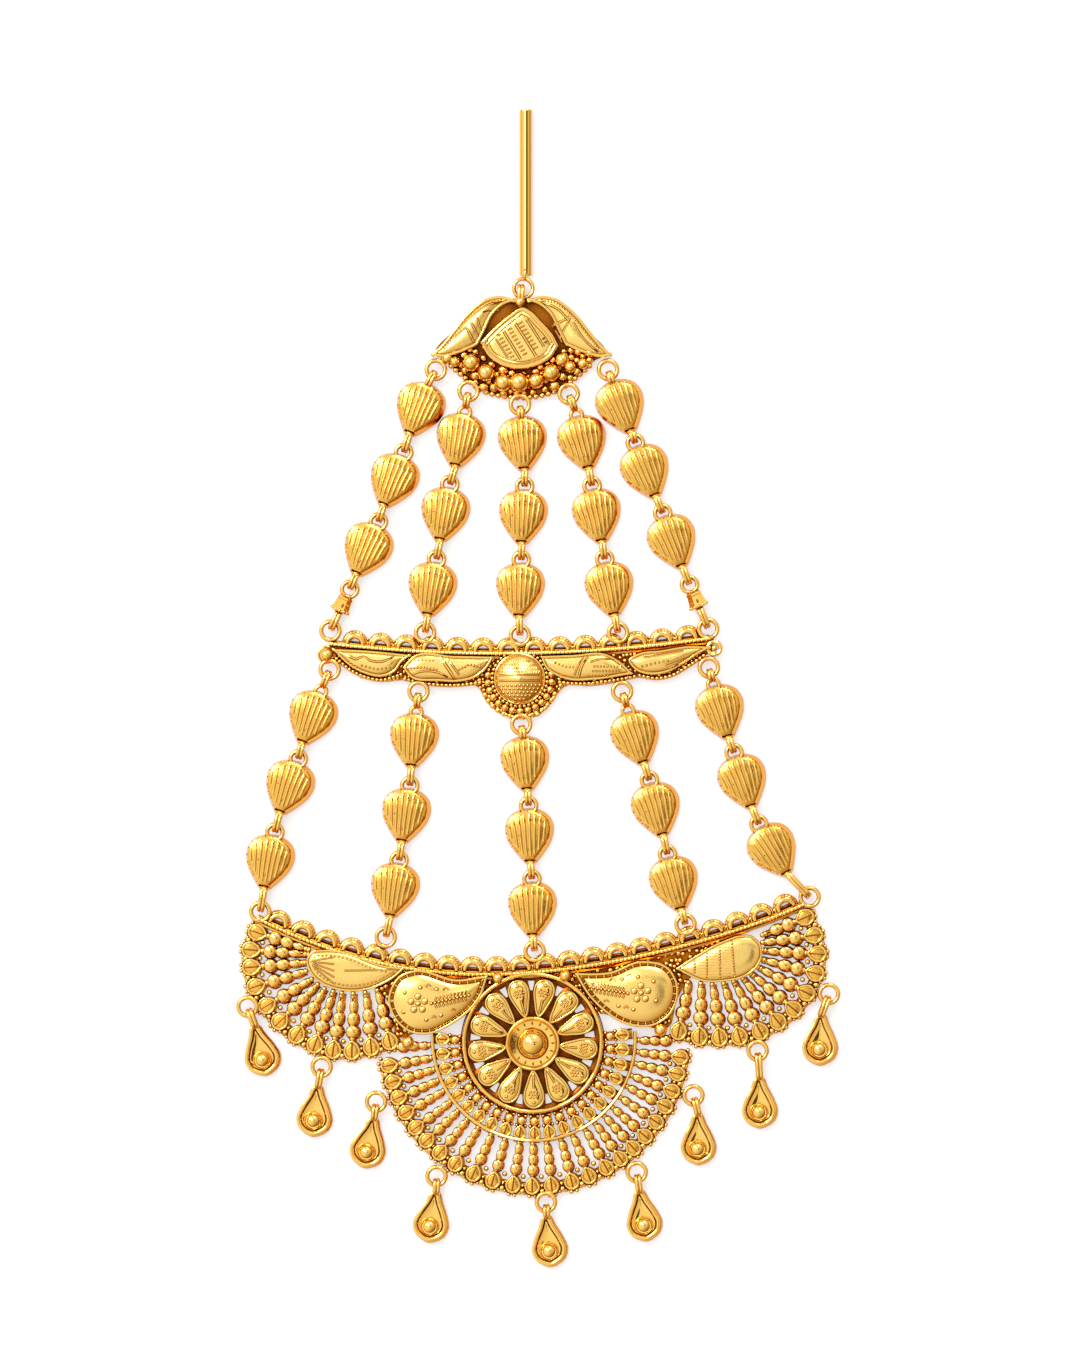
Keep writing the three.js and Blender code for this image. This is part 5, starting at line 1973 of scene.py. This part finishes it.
@dataclass
class Fan(Plate):
    """The wide pierced fan with its rosette, paisleys, leaves and beaded spokes."""

    node: str = "fan"
    spoke: Spoke = Spoke()
    inner_spoke: Spoke = Spoke(
        bezel=1.16,
        beads=(SpokeBead(2.45, 0.74, 1.1), SpokeBead(4.0, 0.6, 1.3), SpokeBead(5.5, 0.48, 1.5)),
        rod=0.36,
    )

    AT = (-0.8, -53.6, 1.35)
    EDGE = EdgeArc(pitch=3.63, count=22, middle=0.35, low=10.6, radius=96, sway=0.72)
    LEFT_SPOKES = (
        SpokeAt(-40.9, 17.6, -33.2, 14.8), SpokeAt(-41.9, 15.0, -33.3, 14.1),
        SpokeAt(-41.9, 12.4, -33.8, 12.9), SpokeAt(-41.3, 9.5, -33.7, 11.6),
        SpokeAt(-39.7, 6.6, -32.9, 10.4), SpokeAt(-37.8, 4.2, -32.0, 9.6),
        SpokeAt(-35.3, 2.1, -31.0, 8.9), SpokeAt(-32.6, 0.6, -29.7, 8.5),
        SpokeAt(-29.9, -0.3, -28.4, 8.2), SpokeAt(-27.1, -0.5, -26.7, 8.1),
        SpokeAt(-24.2, 0.0, -24.9, 8.2), SpokeAt(-21.4, 0.8, -23.1, 8.5),
    )
    RIGHT_SPOKES = (
        SpokeAt(41.3, 17.9, 34.8, 15.4), SpokeAt(42.5, 15.2, 34.8, 14.3),
        SpokeAt(43.0, 12.4, 34.7, 13.1), SpokeAt(42.6, 9.5, 34.5, 11.8),
        SpokeAt(41.2, 6.6, 34.0, 10.6), SpokeAt(39.2, 4.2, 32.9, 9.7),
        SpokeAt(36.8, 2.4, 31.7, 9.0), SpokeAt(34.1, 1.0, 30.3, 8.6),
        SpokeAt(31.0, 0.3, 28.8, 8.3), SpokeAt(28.0, 0.2, 27.1, 8.2),
        SpokeAt(25.0, 0.4, 25.4, 8.4), SpokeAt(21.9, 1.3, 23.5, 8.6),
    )
    LEAF_LEFT = (
        (-33.6, 13.2), (-33.1, 11.4), (-31.6, 9.8), (-29.4, 8.8), (-26.9, 8.4), (-20.4, 10.4),
        (-18.8, 11.8), (-21.9, 12.2), (-27.8, 14.4), (-30.8, 14.8), (-32.8, 14.5),
    )
    LEAF_RIGHT = (
        (21.6, 10.7), (26.1, 8.6), (29.1, 8.6), (32.1, 9.3), (33.9, 10.6), (34.7, 12.4),
        (34.5, 14.0), (33.3, 15.3), (31.5, 15.5), (29.1, 14.8), (23.9, 12.1),
    )
    PAISLEY_LEFT = (
        (-21.5, 7.0), (-19.6, 10.7), (-17.6, 11.4), (-11.0, 9.9), (-6.4, 10.4), (-7.8, 6.9),
        (-9.3, 5.1), (-11.6, 3.4), (-16.1, 1.7), (-18.3, 2.1), (-20.1, 3.5),
    )
    PAISLEY_RIGHT = (
        (6.5, 10.4), (11.9, 10.5), (16.4, 12.0), (20.6, 10.9), (21.7, 9.2), (22.0, 7.1),
        (20.3, 3.4), (18.4, 2.3), (13.2, 2.9), (11.0, 4.4), (8.8, 6.6),
    )
    WEB = (
        (-27.0, 12.5), (-21.0, 5.5), (-20.3, 1.4), (-16.0, 2.6), (-8.0, 7.6), (-5.0, 9.3), (5.0, 9.3),
        (9.0, 5.0), (14.0, 3.2), (20.6, 2.0), (21.8, 6.0), (24.0, 9.4), (27.0, 13.0), (33.4, 15.2),
        (26.0, 14.9), (9.0, 11.4), (0.0, 10.6), (-14.0, 11.2),
    )
    BALLS = (Bead(-5.0, 9.9, 0.9), Bead(5.1, 10.0, 0.95), Bead(-18.7, 0.6, 1.0), Bead(19.2, 1.6, 1.0))
    SPOKE_ANGLES = (
        88, 81, 74.5, 68, 61.5, 54.5, 48, 41, 33.5, 25.5, 17.5, 9.5, 2, -5.5, -13.5, -20.5, -28,
        -34.5, -41, -47.5, -54.5, -61.5, -68, -75, -81.5, -88,
    )
    HEADED_WITHIN = 87
    # How far the painted-shade skirts move to the lower right, away from the light.
    LEAN = (0.16, -0.1)
    OUTER = 22.1
    CENTRE = (0.2, 0.65)
    RING_IN = 10.35
    RING_OUT = 15.2
    PAIRS = 21
    PAIRS_ANGLE = 94
    PETALS = 13
    PETAL_HALF = (
        (0.0, 0.0), (0.55, -0.8), (1.1, -2.2), (1.58, -3.9), (1.56, -4.8), (1.0, -5.7), (0.0, -6.05),
    )
    PETAL_DOTS = (3, 4, 3)
    DISH = ((0.0, 0.5), (3.9, 0.5), (3.85, 2.0), (2.5, 1.85), (0.0, 1.8))
    NOTCHES = 16
    GRAINS_SEED = 11

    def build(self, rings: Sequence[Point]) -> None:
        """Raises the fan.

        Args:
            rings: Middles of the rings that carry the lower chains and the drops.
        """
        self.begin(rings)
        web = turned_left(curve(self.WEB, corners=(0, 13), step=0.8))
        # The web's back plate is painted with half shade.
        self.add_floor(web, Gold.EMBER_SHADE, 2.5)
        solids = [turned_left(curve(rows)) for rows in (self.PAISLEY_LEFT, self.PAISLEY_RIGHT)]
        solids += [turned_left(curve(rows)) for rows in (self.LEAF_LEFT, self.LEAF_RIGHT)]
        taken = [Bead(0, 0, 10.9), *self.BALLS]
        filler = packed_grains(web, (0.34, 0.5), 1.0, taken, solids, self.GRAINS_SEED)
        self.lay(Gold.POLISHED, filler)
        self.add_scallops(self.EDGE, 0.62)
        self.add_edge(self.EDGE.path(-40.8, 41.0))
        large = [(bead.x, bead.y, 1.8, 0.0, bead.radius) for bead in self.BALLS]
        self.lay(Gold.BRIGHT, stamped(ball(1.0, 24, 16), large))
        self._add_leaves()
        self._add_wings()
        self._add_central()
        self._add_rosette()

    def _add_leaves(self) -> None:
        """Raises the two leaves and the two paisleys with their marks."""
        left = Leaf(self.LEAF_LEFT, (6,), edge=1.85, crown=0.45, reach=1.8, rim=0.18)
        self.lay_all(replace(left, marks=self._veins(left.loop())).forms(Gold.SATIN))
        right = Leaf(self.LEAF_RIGHT, (0,), edge=1.85, crown=0.45, reach=1.8, rim=0.18)
        self.lay_all(replace(right, marks=self._ladders(right.loop())).forms(Gold.SATIN))
        plain = Leaf((), (), edge=2.1, crown=0.7, reach=3.0, grid=0.35, groove=0.42, milled=True)
        for rows, corner, middle, side in (
            (self.PAISLEY_LEFT, 4, (-17.0, 6.4), 1),
            (self.PAISLEY_RIGHT, 0, (16.4, 7.2), -1),
        ):
            paisley = replace(plain, rows=rows, corners=(corner,), marks=self._flower(middle, side))
            self.lay_all(paisley.forms(Gold.SATIN))

    @staticmethod
    def _veins(loop: np.ndarray) -> tuple[Mark, ...]:
        """Draws the left leaf's cross lines, its fanned veins and the strokes along its edge.

        Args:
            loop: The leaf's outline.

        Returns:
            The marks.
        """
        marks = [Mark(((-28.6, 14.2), (-29.2, 8.6)), 0.13, 0.16)]
        marks.append(Mark(((-28.1, 14.2), (-28.6, 8.6)), 0.09))
        for i in range(5):
            marks.append(Mark(((-32.6, 12.4 + i * 0.2), (-29.4, 9.6 + i)), 0.075, 0.12))
            marks.append(Mark(((-27.9, 9.6 + i), (-19.8, 11.1 + i * 0.18)), 0.075, 0.12))
        marks = [mark for mark in marks if mark.lies_in(inset(loop, 0.3))]
        return (*marks, *strokes(inset(loop, 0.95), 0.62, 0.36, 0.0))

    @staticmethod
    def _ladders(loop: np.ndarray) -> tuple[Mark, ...]:
        """Draws the right leaf's rows of dots with fine rungs between them.

        Args:
            loop: The leaf's outline.

        Returns:
            The marks.
        """
        marks = []
        for x, lean in ((24.6, -0.2), (26.4, -0.1), (28.3, 0.0), (30.3, 0.2)):
            marks += dotted(((x + lean, 8.9), (x - lean, 15.4)), 0.42, 0.13)
        for i in range(14):
            y = 8.9 + i * 0.44
            marks += [Mark(((x, y), (x + 1.2, y)), 0.055, 0.08) for x in (24.9, 26.7, 28.7)]
        return tuple(mark for mark in marks if mark.lies_in(inset(loop, 0.5)))

    @staticmethod
    def _flower(middle: Point, side: int) -> tuple[Mark, ...]:
        """Draws a flower, a beaded stem and scattered dots.

        Args:
            middle: Middle of the flower.
            side: 1 if the stem runs toward +X.

        Returns:
            The marks.
        """
        x0, y0 = middle
        marks = [Mark(((x0, y0),), 0.4, 0.3)]
        for i in range(5):
            a = math.radians(90 + 72 * i)
            marks.append(Mark(((x0 + 1.08 * math.cos(a), y0 + 1.08 * math.sin(a)),), 0.5, 0.3))
        for i in range(11):
            x, y = x0 + side * (2.0 + i * 0.56), y0 + 0.11 * i
            marks.append(Mark(((x, y),), 0.25, 0.26))
            if 0 < i < 10:
                marks.append(Mark(((x, y + 0.34), (x + side * 0.24, y + 0.86)), 0.12, 0.17))
                marks.append(Mark(((x, y - 0.34), (x + side * 0.24, y - 0.82)), 0.12, 0.17))
        for dx, dy in ((0.4, 2.4), (2.8, 2.1), (1.2, -2.4), (3.4, -1.8), (-1.9, 1.7), (-2.2, -1.2)):
            marks.append(Mark(((x0 + side * dx, y0 + dy),), 0.3, 0.24))
        for dx, dy in ((1.6, 2.5), (4.2, 1.9), (2.3, -2.2), (5.2, -1.2)):
            x, y = x0 + side * dx, y0 + dy
            marks.append(Mark(((x - 0.4, y), (x, y + 0.35), (x + 0.4, y)), 0.09, 0.14))
        return tuple(marks)

    def _add_wings(self) -> None:
        """Lays the beaded spokes of the two wings and the grains round them."""
        for row in (self.LEFT_SPOKES, self.RIGHT_SPOKES):
            heads = []
            for at in row:
                place = Seat(at.x, at.y, down_turn((at.x, at.y), (at.root_x, at.root_y)))
                forms = self.spoke.forms(math.hypot(at.root_x - at.x, at.root_y - at.y))
                self._add_leaning(place, forms)
                root = ball(0.42, 10, 7).moved(at.root_x, at.root_y, 1.45)
                self.lay(Gold.POLISHED, root)
                heads.append(place)
            self._add_border(heads)

    def _add_leaning(self, place: Seat, forms: dict[Gold, Form]) -> None:
        """Keeps a spoke's forms, with the lower ones, its skirts of painted shade, a little to the lower
        right, away from the light.

        Args:
            place: The spoke's seat on the fan.
            forms: Its forms by finish.
        """
        for finish, form in forms.items():
            moved = place.place(form)
            if finish is Gold.EMBER_SHADE:
                moved = moved.moved(*self.LEAN)
            self.lay(finish, moved)

    def _add_border(self, heads: Sequence[Seat]) -> None:
        """Sets grains round the outer edge of a row of bezels and between its neighbours.

        Args:
            heads: Seats of the bezels.
        """
        out = self.spoke.bezel * 1.02 + 0.25
        spots = []
        for head in heads:
            for lean in (-48, -16, 16, 48):
                a = math.radians(lean)
                spots.append((*head.outer(out * math.sin(a), out * math.cos(a)), 0.85, 0.0, 0.36))
        for a, b in zip(heads, heads[1:]):
            for down, z, size in ((0.8, 1.15, 0.46), (0.0, 1.0, 0.34), (-1.35, 0.95, 0.4)):
                (ax, ay), (bx, by) = a.outer(0.0, down), b.outer(0.0, down)
                spots.append(((ax + bx) / 2, (ay + by) / 2, z, 0.0, size))
        self.lay(Gold.POLISHED, stamped(ball(1.0, 10, 6), spots))
        line = curve([head.outer(0.0, 0.35) for head in heads], closed=False)
        # A band of painted shade under the row of bezels.
        self.lay(Gold.EMBER_SHADE, wire(line, 0.95, 0.4, closed=False).moved(z=0.5))

    def _add_central(self) -> None:
        """Lays the two rings, the pairs of balls and bezels between them, and the spokes."""
        centre = np.array(self.CENTRE)
        outer = arc(self.RING_OUT, 93, -93) + centre
        ring_in = ring(self.RING_IN - 0.05, 0.32, 72, 10).moved(0, 0.1, 1.85)
        ring_out = wire(outer, 0.25, 0.28, closed=False).moved(z=1.8)
        self.lay(Gold.BRIGHT, ring_in, ring_out)
        # Skirts of painted shade under the two rings.
        skirt = wire(arc(self.RING_IN, 0, 355, 5), 0.36, 0.6).moved(z=0.85)
        foot = wire(outer, 0.3, 0.6, closed=False).moved(z=0.85)
        self.lay(Gold.EMBER_SHADE, skirt, foot)
        bezel = Spoke(0.98).bezel_forms()
        # Each pair sits on a strip of painted shade.
        strip = wire(np.array([(0.0, -10.6), (0.0, -15.0)]), np.array([0.66, 0.82]), 0.4, closed=False)
        pearl = ball(0.78, 16, 10).moved(0, -11.65, 1.35)
        corners = ((-0.5, -10.95, 1.0), (0.5, -10.95, 1.0), (-0.62, -12.45, 0.95), (0.62, -12.45, 0.95))
        around = stamped(ball(0.34, 9, 6), corners)
        for i in range(self.PAIRS):
            spot = Seat(0.0, 0.0, self.PAIRS_ANGLE * (2 * i / (self.PAIRS - 1) - 1))
            self.lay(Gold.EMBER_SHADE, spot.place(strip.moved(z=0.5)))
            self.lay(Gold.BRIGHT, spot.place(pearl))
            self.lay(Gold.POLISHED, spot.place(around))
            for finish, form in bezel.items():
                self.lay(finish, spot.place(form.moved(0, -13.55, 0.05, 180)))
        heads = []
        for angle in self.SPOKE_ANGLES:
            x, y = arc(self.OUTER, angle, angle)[0] + centre
            root = arc(self.RING_OUT, angle, angle)[0] + centre
            place = Seat(float(x), float(y), down_turn((x, y), root))
            headed = abs(angle) < self.HEADED_WITHIN
            forms = self.inner_spoke.forms(float(np.hypot(*(root - (x, y)))), headed)
            self._add_leaning(place, forms)
            if headed:
                heads.append(place)
        self._add_border(heads)

    def _add_rosette(self) -> None:
        """Sets the floor, the thirteen petals, the notched collar and the large ball, with painted shade
        round them.
        """
        # The floor, the strips under the petals and the ring round them paint deep shade.
        floor = lathe([(0.0, 0.0), (7.9, 0.0), (7.9, 0.6), (0.0, 0.6)], 48)
        self.lay(Gold.DARK_SHADE, floor)
        line = np.array([(0.0, -4.5), (0.0, -7.0), (0.0, -9.8)])
        under = wire(line, np.array([1.0, 1.7, 1.75]), 0.4, closed=False).moved(z=0.45)
        turns = [(0.0, 0.0, 0.0, 360 * i / self.PETALS) for i in range(self.PETALS)]
        self.lay(Gold.DARK_SHADE, stamped(under, turns))
        self.lay(Gold.DARK_SHADE, wire(arc(10.1, 0, 355, 5), 0.75, 0.3).moved(z=0.35))
        for finish, form in self._petal().forms(Gold.BRIGHT).items():
            self.lay(finish, stamped(form.moved(0, -3.75), turns))
        self.lay(Gold.POLISHED, lathe(self.DISH, 72))
        angles = np.arange(0, 360, 360 / self.NOTCHES)
        notches = [(*arc(3.05, angle, angle)[0], 1.92, -angle) for angle in angles]
        # The notches, the thin ring inside the collar's rim and the ring round the ball's foot are painted
        # with shade.
        notch = ball(1.0, 8, 6).scaled(0.13, 0.3, 0.1)
        self.lay(Gold.DARK_SHADE, stamped(notch, notches))
        self.lay(Gold.EMBER_SHADE, ring(3.5, 0.12, 60, 6).moved(z=1.94))
        self.lay(Gold.BRIGHT, ring(3.82, 0.25, 72, 10).moved(z=2.1))
        self.lay(Gold.DARK_SHADE, ring(2.28, 0.12, 48, 8).moved(z=1.84))
        self.lay(Gold.MIRROR, ball(2.2, 48, 30).scaled(1.0, 1.0, 0.88).moved(z=2.1))

    def _petal(self) -> Leaf:
        """Draws one petal with its vein and its dots, its point at the origin.

        Returns:
            The petal.
        """
        rows = self.PETAL_HALF + tuple((-x, y) for x, y in reversed(self.PETAL_HALF[1:-1]))
        marks = [Mark(((0.0, -0.9), (0.0, -3.0)), 0.12, 0.14), Mark(((0.0, -5.1),), 0.2, 0.16)]
        for row, count in enumerate(self.PETAL_DOTS):
            for column in range(count):
                x, y = (column - (count - 1) / 2) * 0.48, -3.5 - row * 0.42
                marks.append(Mark(((x, y),), 0.13, 0.12))
        return Leaf(rows, (0,), edge=1.65, crown=0.35, reach=0.9, rim=0.17, marks=tuple(marks))


# ---------------- studio
@dataclass(frozen=True)
class Lamp:
    """A soft square lamp that points at the middle of the table, in metres and watts."""

    name: str
    place: tuple[float, float, float]
    size: float
    power: float

    def hang(self) -> None:
        """Hangs the lamp in its place."""
        data = bpy.data.lights.new(self.name, "AREA")
        data.shape = "SQUARE"
        data.size = self.size
        data.energy = self.power
        lamp = bpy.data.objects.new(self.name, data)
        lamp.location = self.place
        lamp.rotation_euler = (-Vector(self.place)).to_track_quat("-Z", "Y").to_euler()
        bpy.context.scene.collection.objects.link(lamp)


@dataclass
class Studio:
    """A white table in a soft room with four lamps, seen from straight above.

    The camera's middle and the height of its frame are in millimetres, all the rest in metres.
    """

    middle: Point = (0.25, 1.93)
    frame_height: float = 202.5
    lens: float = 180.0
    sensor: float = 36.0
    floor_size: float = 8.0
    shades_above_lens: float = 0.05
    disc_at: Point = (0.25, -0.12)
    disc_radius: float = 0.13
    disc_sides: int = 24
    arm_x: Point = (0.03, 0.6)
    arm_y: Point = (0.11, 0.21)
    lamps: tuple[Lamp, ...] = (
        Lamp("key", (-0.6, 0.5, 0.75), size=0.5, power=7.0),
        Lamp("spark", (0.2, 0.7, 0.6), size=0.3, power=2.2),
        Lamp("glint", (-0.22, 0.26, 0.95), size=0.1, power=1.0),
        Lamp("band", (-0.3, 0.14, 0.95), size=0.16, power=0.35),
    )

    def build(self) -> None:
        """Lays the floor, hangs the shades and the lamps, and sets the camera."""
        scene = bpy.context.scene
        scene.view_settings.view_transform = "Standard"
        self._add_world(scene)
        half = self.floor_size / 2
        corners = [(-half, -half, 0), (half, -half, 0), (half, half, 0), (-half, half, 0)]
        floor = self._sheet("table", corners, self._table_material())
        distance = self.frame_height * MM * self.lens / self.sensor
        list(self._shades(distance + self.shades_above_lens))
        for lamp in self.lamps:
            lamp.hang()
        data = bpy.data.cameras.new("camera")
        data.lens = self.lens
        data.sensor_width = self.sensor
        data.clip_start, data.clip_end = 0.01, 10.0
        camera = bpy.data.objects.new("camera", data)
        camera.location = (self.middle[0] * MM, self.middle[1] * MM, distance)
        scene.collection.objects.link(camera)
        scene.camera = camera

    def _shades(self, z: float) -> list[bpy.types.Object]:
        """Hangs a round shade and a long one that only polished gold mirrors.

        Args:
            z: Their height.

        Returns:
            The shades.
        """
        (x, y), radius = self.disc_at, self.disc_radius
        turns = np.linspace(0, 2 * math.pi, self.disc_sides + 1)[:-1]
        disc = [(x + radius * math.cos(a), y - radius * math.sin(a), z) for a in turns]
        (left, right), (near, far) = self.arm_x, self.arm_y
        arm = [(left, far, z), (right, far, z), (right, near, z), (left, near, z)]
        dark = self._shade_material()
        shades = [self._sheet("lens_shade", disc, dark), self._sheet("lens_arm", arm, dark)]
        for shade in shades:
            shade.visible_camera = False
            shade.visible_shadow = False
            shade.visible_diffuse = False
            shade.visible_transmission = False
        return shades

    @staticmethod
    def _sheet(name: str, corners: Sequence[tuple], material: bpy.types.Material) -> bpy.types.Object:
        """Makes a flat sheet.

        Args:
            name: Its name.
            corners: Its corners in metres, in order.
            material: Its material.

        Returns:
            The sheet.
        """
        mesh = bpy.data.meshes.new(name)
        mesh.from_pydata([tuple(c) for c in corners], [], [list(range(len(corners)))])
        mesh.materials.append(material)
        made = bpy.data.objects.new(name, mesh)
        bpy.context.scene.collection.objects.link(made)
        return made

    @staticmethod
    def _table_material() -> bpy.types.Material:
        """Builds the table's matt white, which glows a little and is painted greyer with shade under the
        gold.

        Returns:
            The material.
        """
        made = bpy.data.materials.new("table_white")
        made.use_nodes = True
        nodes = Nodes(made.node_tree)
        cloud = nodes.noise(6.0)
        base = nodes.mixed(cloud, (0.36, 0.362, 0.364), (0.37, 0.372, 0.374))
        color = nodes.mixed(cloud, (0.93, 0.935, 0.94), (0.95, 0.955, 0.96))
        # Painted shade: the table's glow greys where the gold hems it in.
        reach = {"Distance": 3.0 * MM}
        open_air = nodes.add("ShaderNodeAmbientOcclusion", {"samples": 8}, reach, "AO")
        nook = ((1.0 - open_air) * 1.7 - 0.5).clipped()
        color = nodes.mixed(nook, color, (0.84, 0.82, 0.79))
        inputs = {"Base Color": base, "Roughness": 0.9, "Specular IOR Level": 0.0}
        inputs |= {"Emission Color": color, "Emission Strength": 0.7}
        nodes.end("ShaderNodeOutputMaterial", nodes.add("ShaderNodeBsdfPrincipled", {}, inputs, "BSDF"))
        return made

    @staticmethod
    def _shade_material() -> bpy.types.Material:
        """Builds the shades' matt dark brown.

        Returns:
            The material.
        """
        made = bpy.data.materials.new("shade_black")
        made.use_nodes = True
        nodes = Nodes(made.node_tree)
        color = nodes.mixed(nodes.noise(6.0), (0.09, 0.055, 0.025), (0.11, 0.07, 0.03))
        inputs = {"Base Color": color, "Roughness": 1.0, "Specular IOR Level": 0.0}
        nodes.end("ShaderNodeOutputMaterial", nodes.add("ShaderNodeBsdfPrincipled", {}, inputs, "BSDF"))
        return made

    @staticmethod
    def _add_world(scene: bpy.types.Scene) -> None:
        """Sets the room's own soft light: pale above, brown low down, brightest to the upper left.

        Args:
            scene: The scene to light.
        """
        world = bpy.data.worlds.new("room")
        world.use_nodes = True
        nodes = Nodes(world.node_tree)
        way = nodes.add("ShaderNodeTexCoord", {}, {}, "Generated")
        up = nodes.add("ShaderNodeSeparateXYZ", {}, {"Vector": way}, "Z")
        across = nodes.add("ShaderNodeSeparateXYZ", {}, {"Vector": way}, "X")
        along = nodes.add("ShaderNodeSeparateXYZ", {}, {"Vector": way}, "Y")
        stops = [(0.0, 0.12), (0.12, 0.3), (0.35, 0.85), (0.6, 1.0), (1.0, 1.0)]
        ramp = nodes.add("ShaderNodeValToRGB", {"stops": stops}, {"Fac": up}, "Color")
        level = ramp * ((along - across) * 0.52 + 1.0)
        stops = [(0.0, (0.05, 0.016, 0.003)), (0.3, (0.38, 0.21, 0.08)), (0.55, (0.64, 0.50, 0.36))]
        stops += [(0.8, (0.88, 0.82, 0.76)), (1.0, (0.98, 0.99, 1.0))]
        warmth = nodes.add("ShaderNodeValToRGB", {"stops": stops}, {"Fac": level.clipped()}, "Color")
        light = {"Color": warmth, "Strength": 1.07}
        nodes.end("ShaderNodeOutputWorld", nodes.add("ShaderNodeBackground", {}, light, "Background"))
        scene.world = world


# ---------------- assembly
def main() -> None:
    """Builds the pin, the chains and the drops, then the plates with their rings, then the studio."""
    logging.basicConfig(level=logging.INFO, format="%(message)s")
    finishes = {gold: gold.value.material() for gold in Gold}
    shift = shift_of_frame()
    rod = PinRod()
    rod.build()
    pin_ring = PinRing()
    pin_ring.build(shift)
    pieces: list[Piece] = [rod, pin_ring]
    rings: dict[str, list[Point]] = {"crest": [], "cross_bar": [], "fan": []}
    heart_body, drop_body = HeartBead.body(), Drop.body()
    for name in sorted(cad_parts):
        if name.startswith("heart_"):
            upper, letter = "upper" in name, name[-1]
            bead = HeartBead(name, first=letter == "a")
            bead.build(heart_body)
            if bead.first:
                rings["crest" if upper else "cross_bar"].append(bead.hangs_from)
            if letter == "c" and not (upper and "outer" in name):
                rings["cross_bar" if upper else "fan"].append(bead.holds)
            pieces.append(bead)
        elif name.startswith("barrel_"):
            barrel = Barrel(name)
            barrel.build()
            rings["cross_bar"].append(barrel.holds)
            pieces.append(barrel)
        elif name.startswith("drop_"):
            drop = Drop(name)
            drop.build(drop_body)
            rings["fan"].append(drop.hangs_from)
            pieces.append(drop)
    for plate in (Crest(shift=shift), CrossBar(shift=shift), Fan(shift=shift)):
        plate.build(rings[plate.node])
        pieces.append(plate)
    total = 0
    for piece in pieces:
        triangles = piece.finished(finishes)
        total += triangles
        LOG.info("%s: %d triangles", piece.node, triangles)
    LOG.info("%d triangles in all", total)
    Studio().build()


if __name__ == "__main__":
    main()
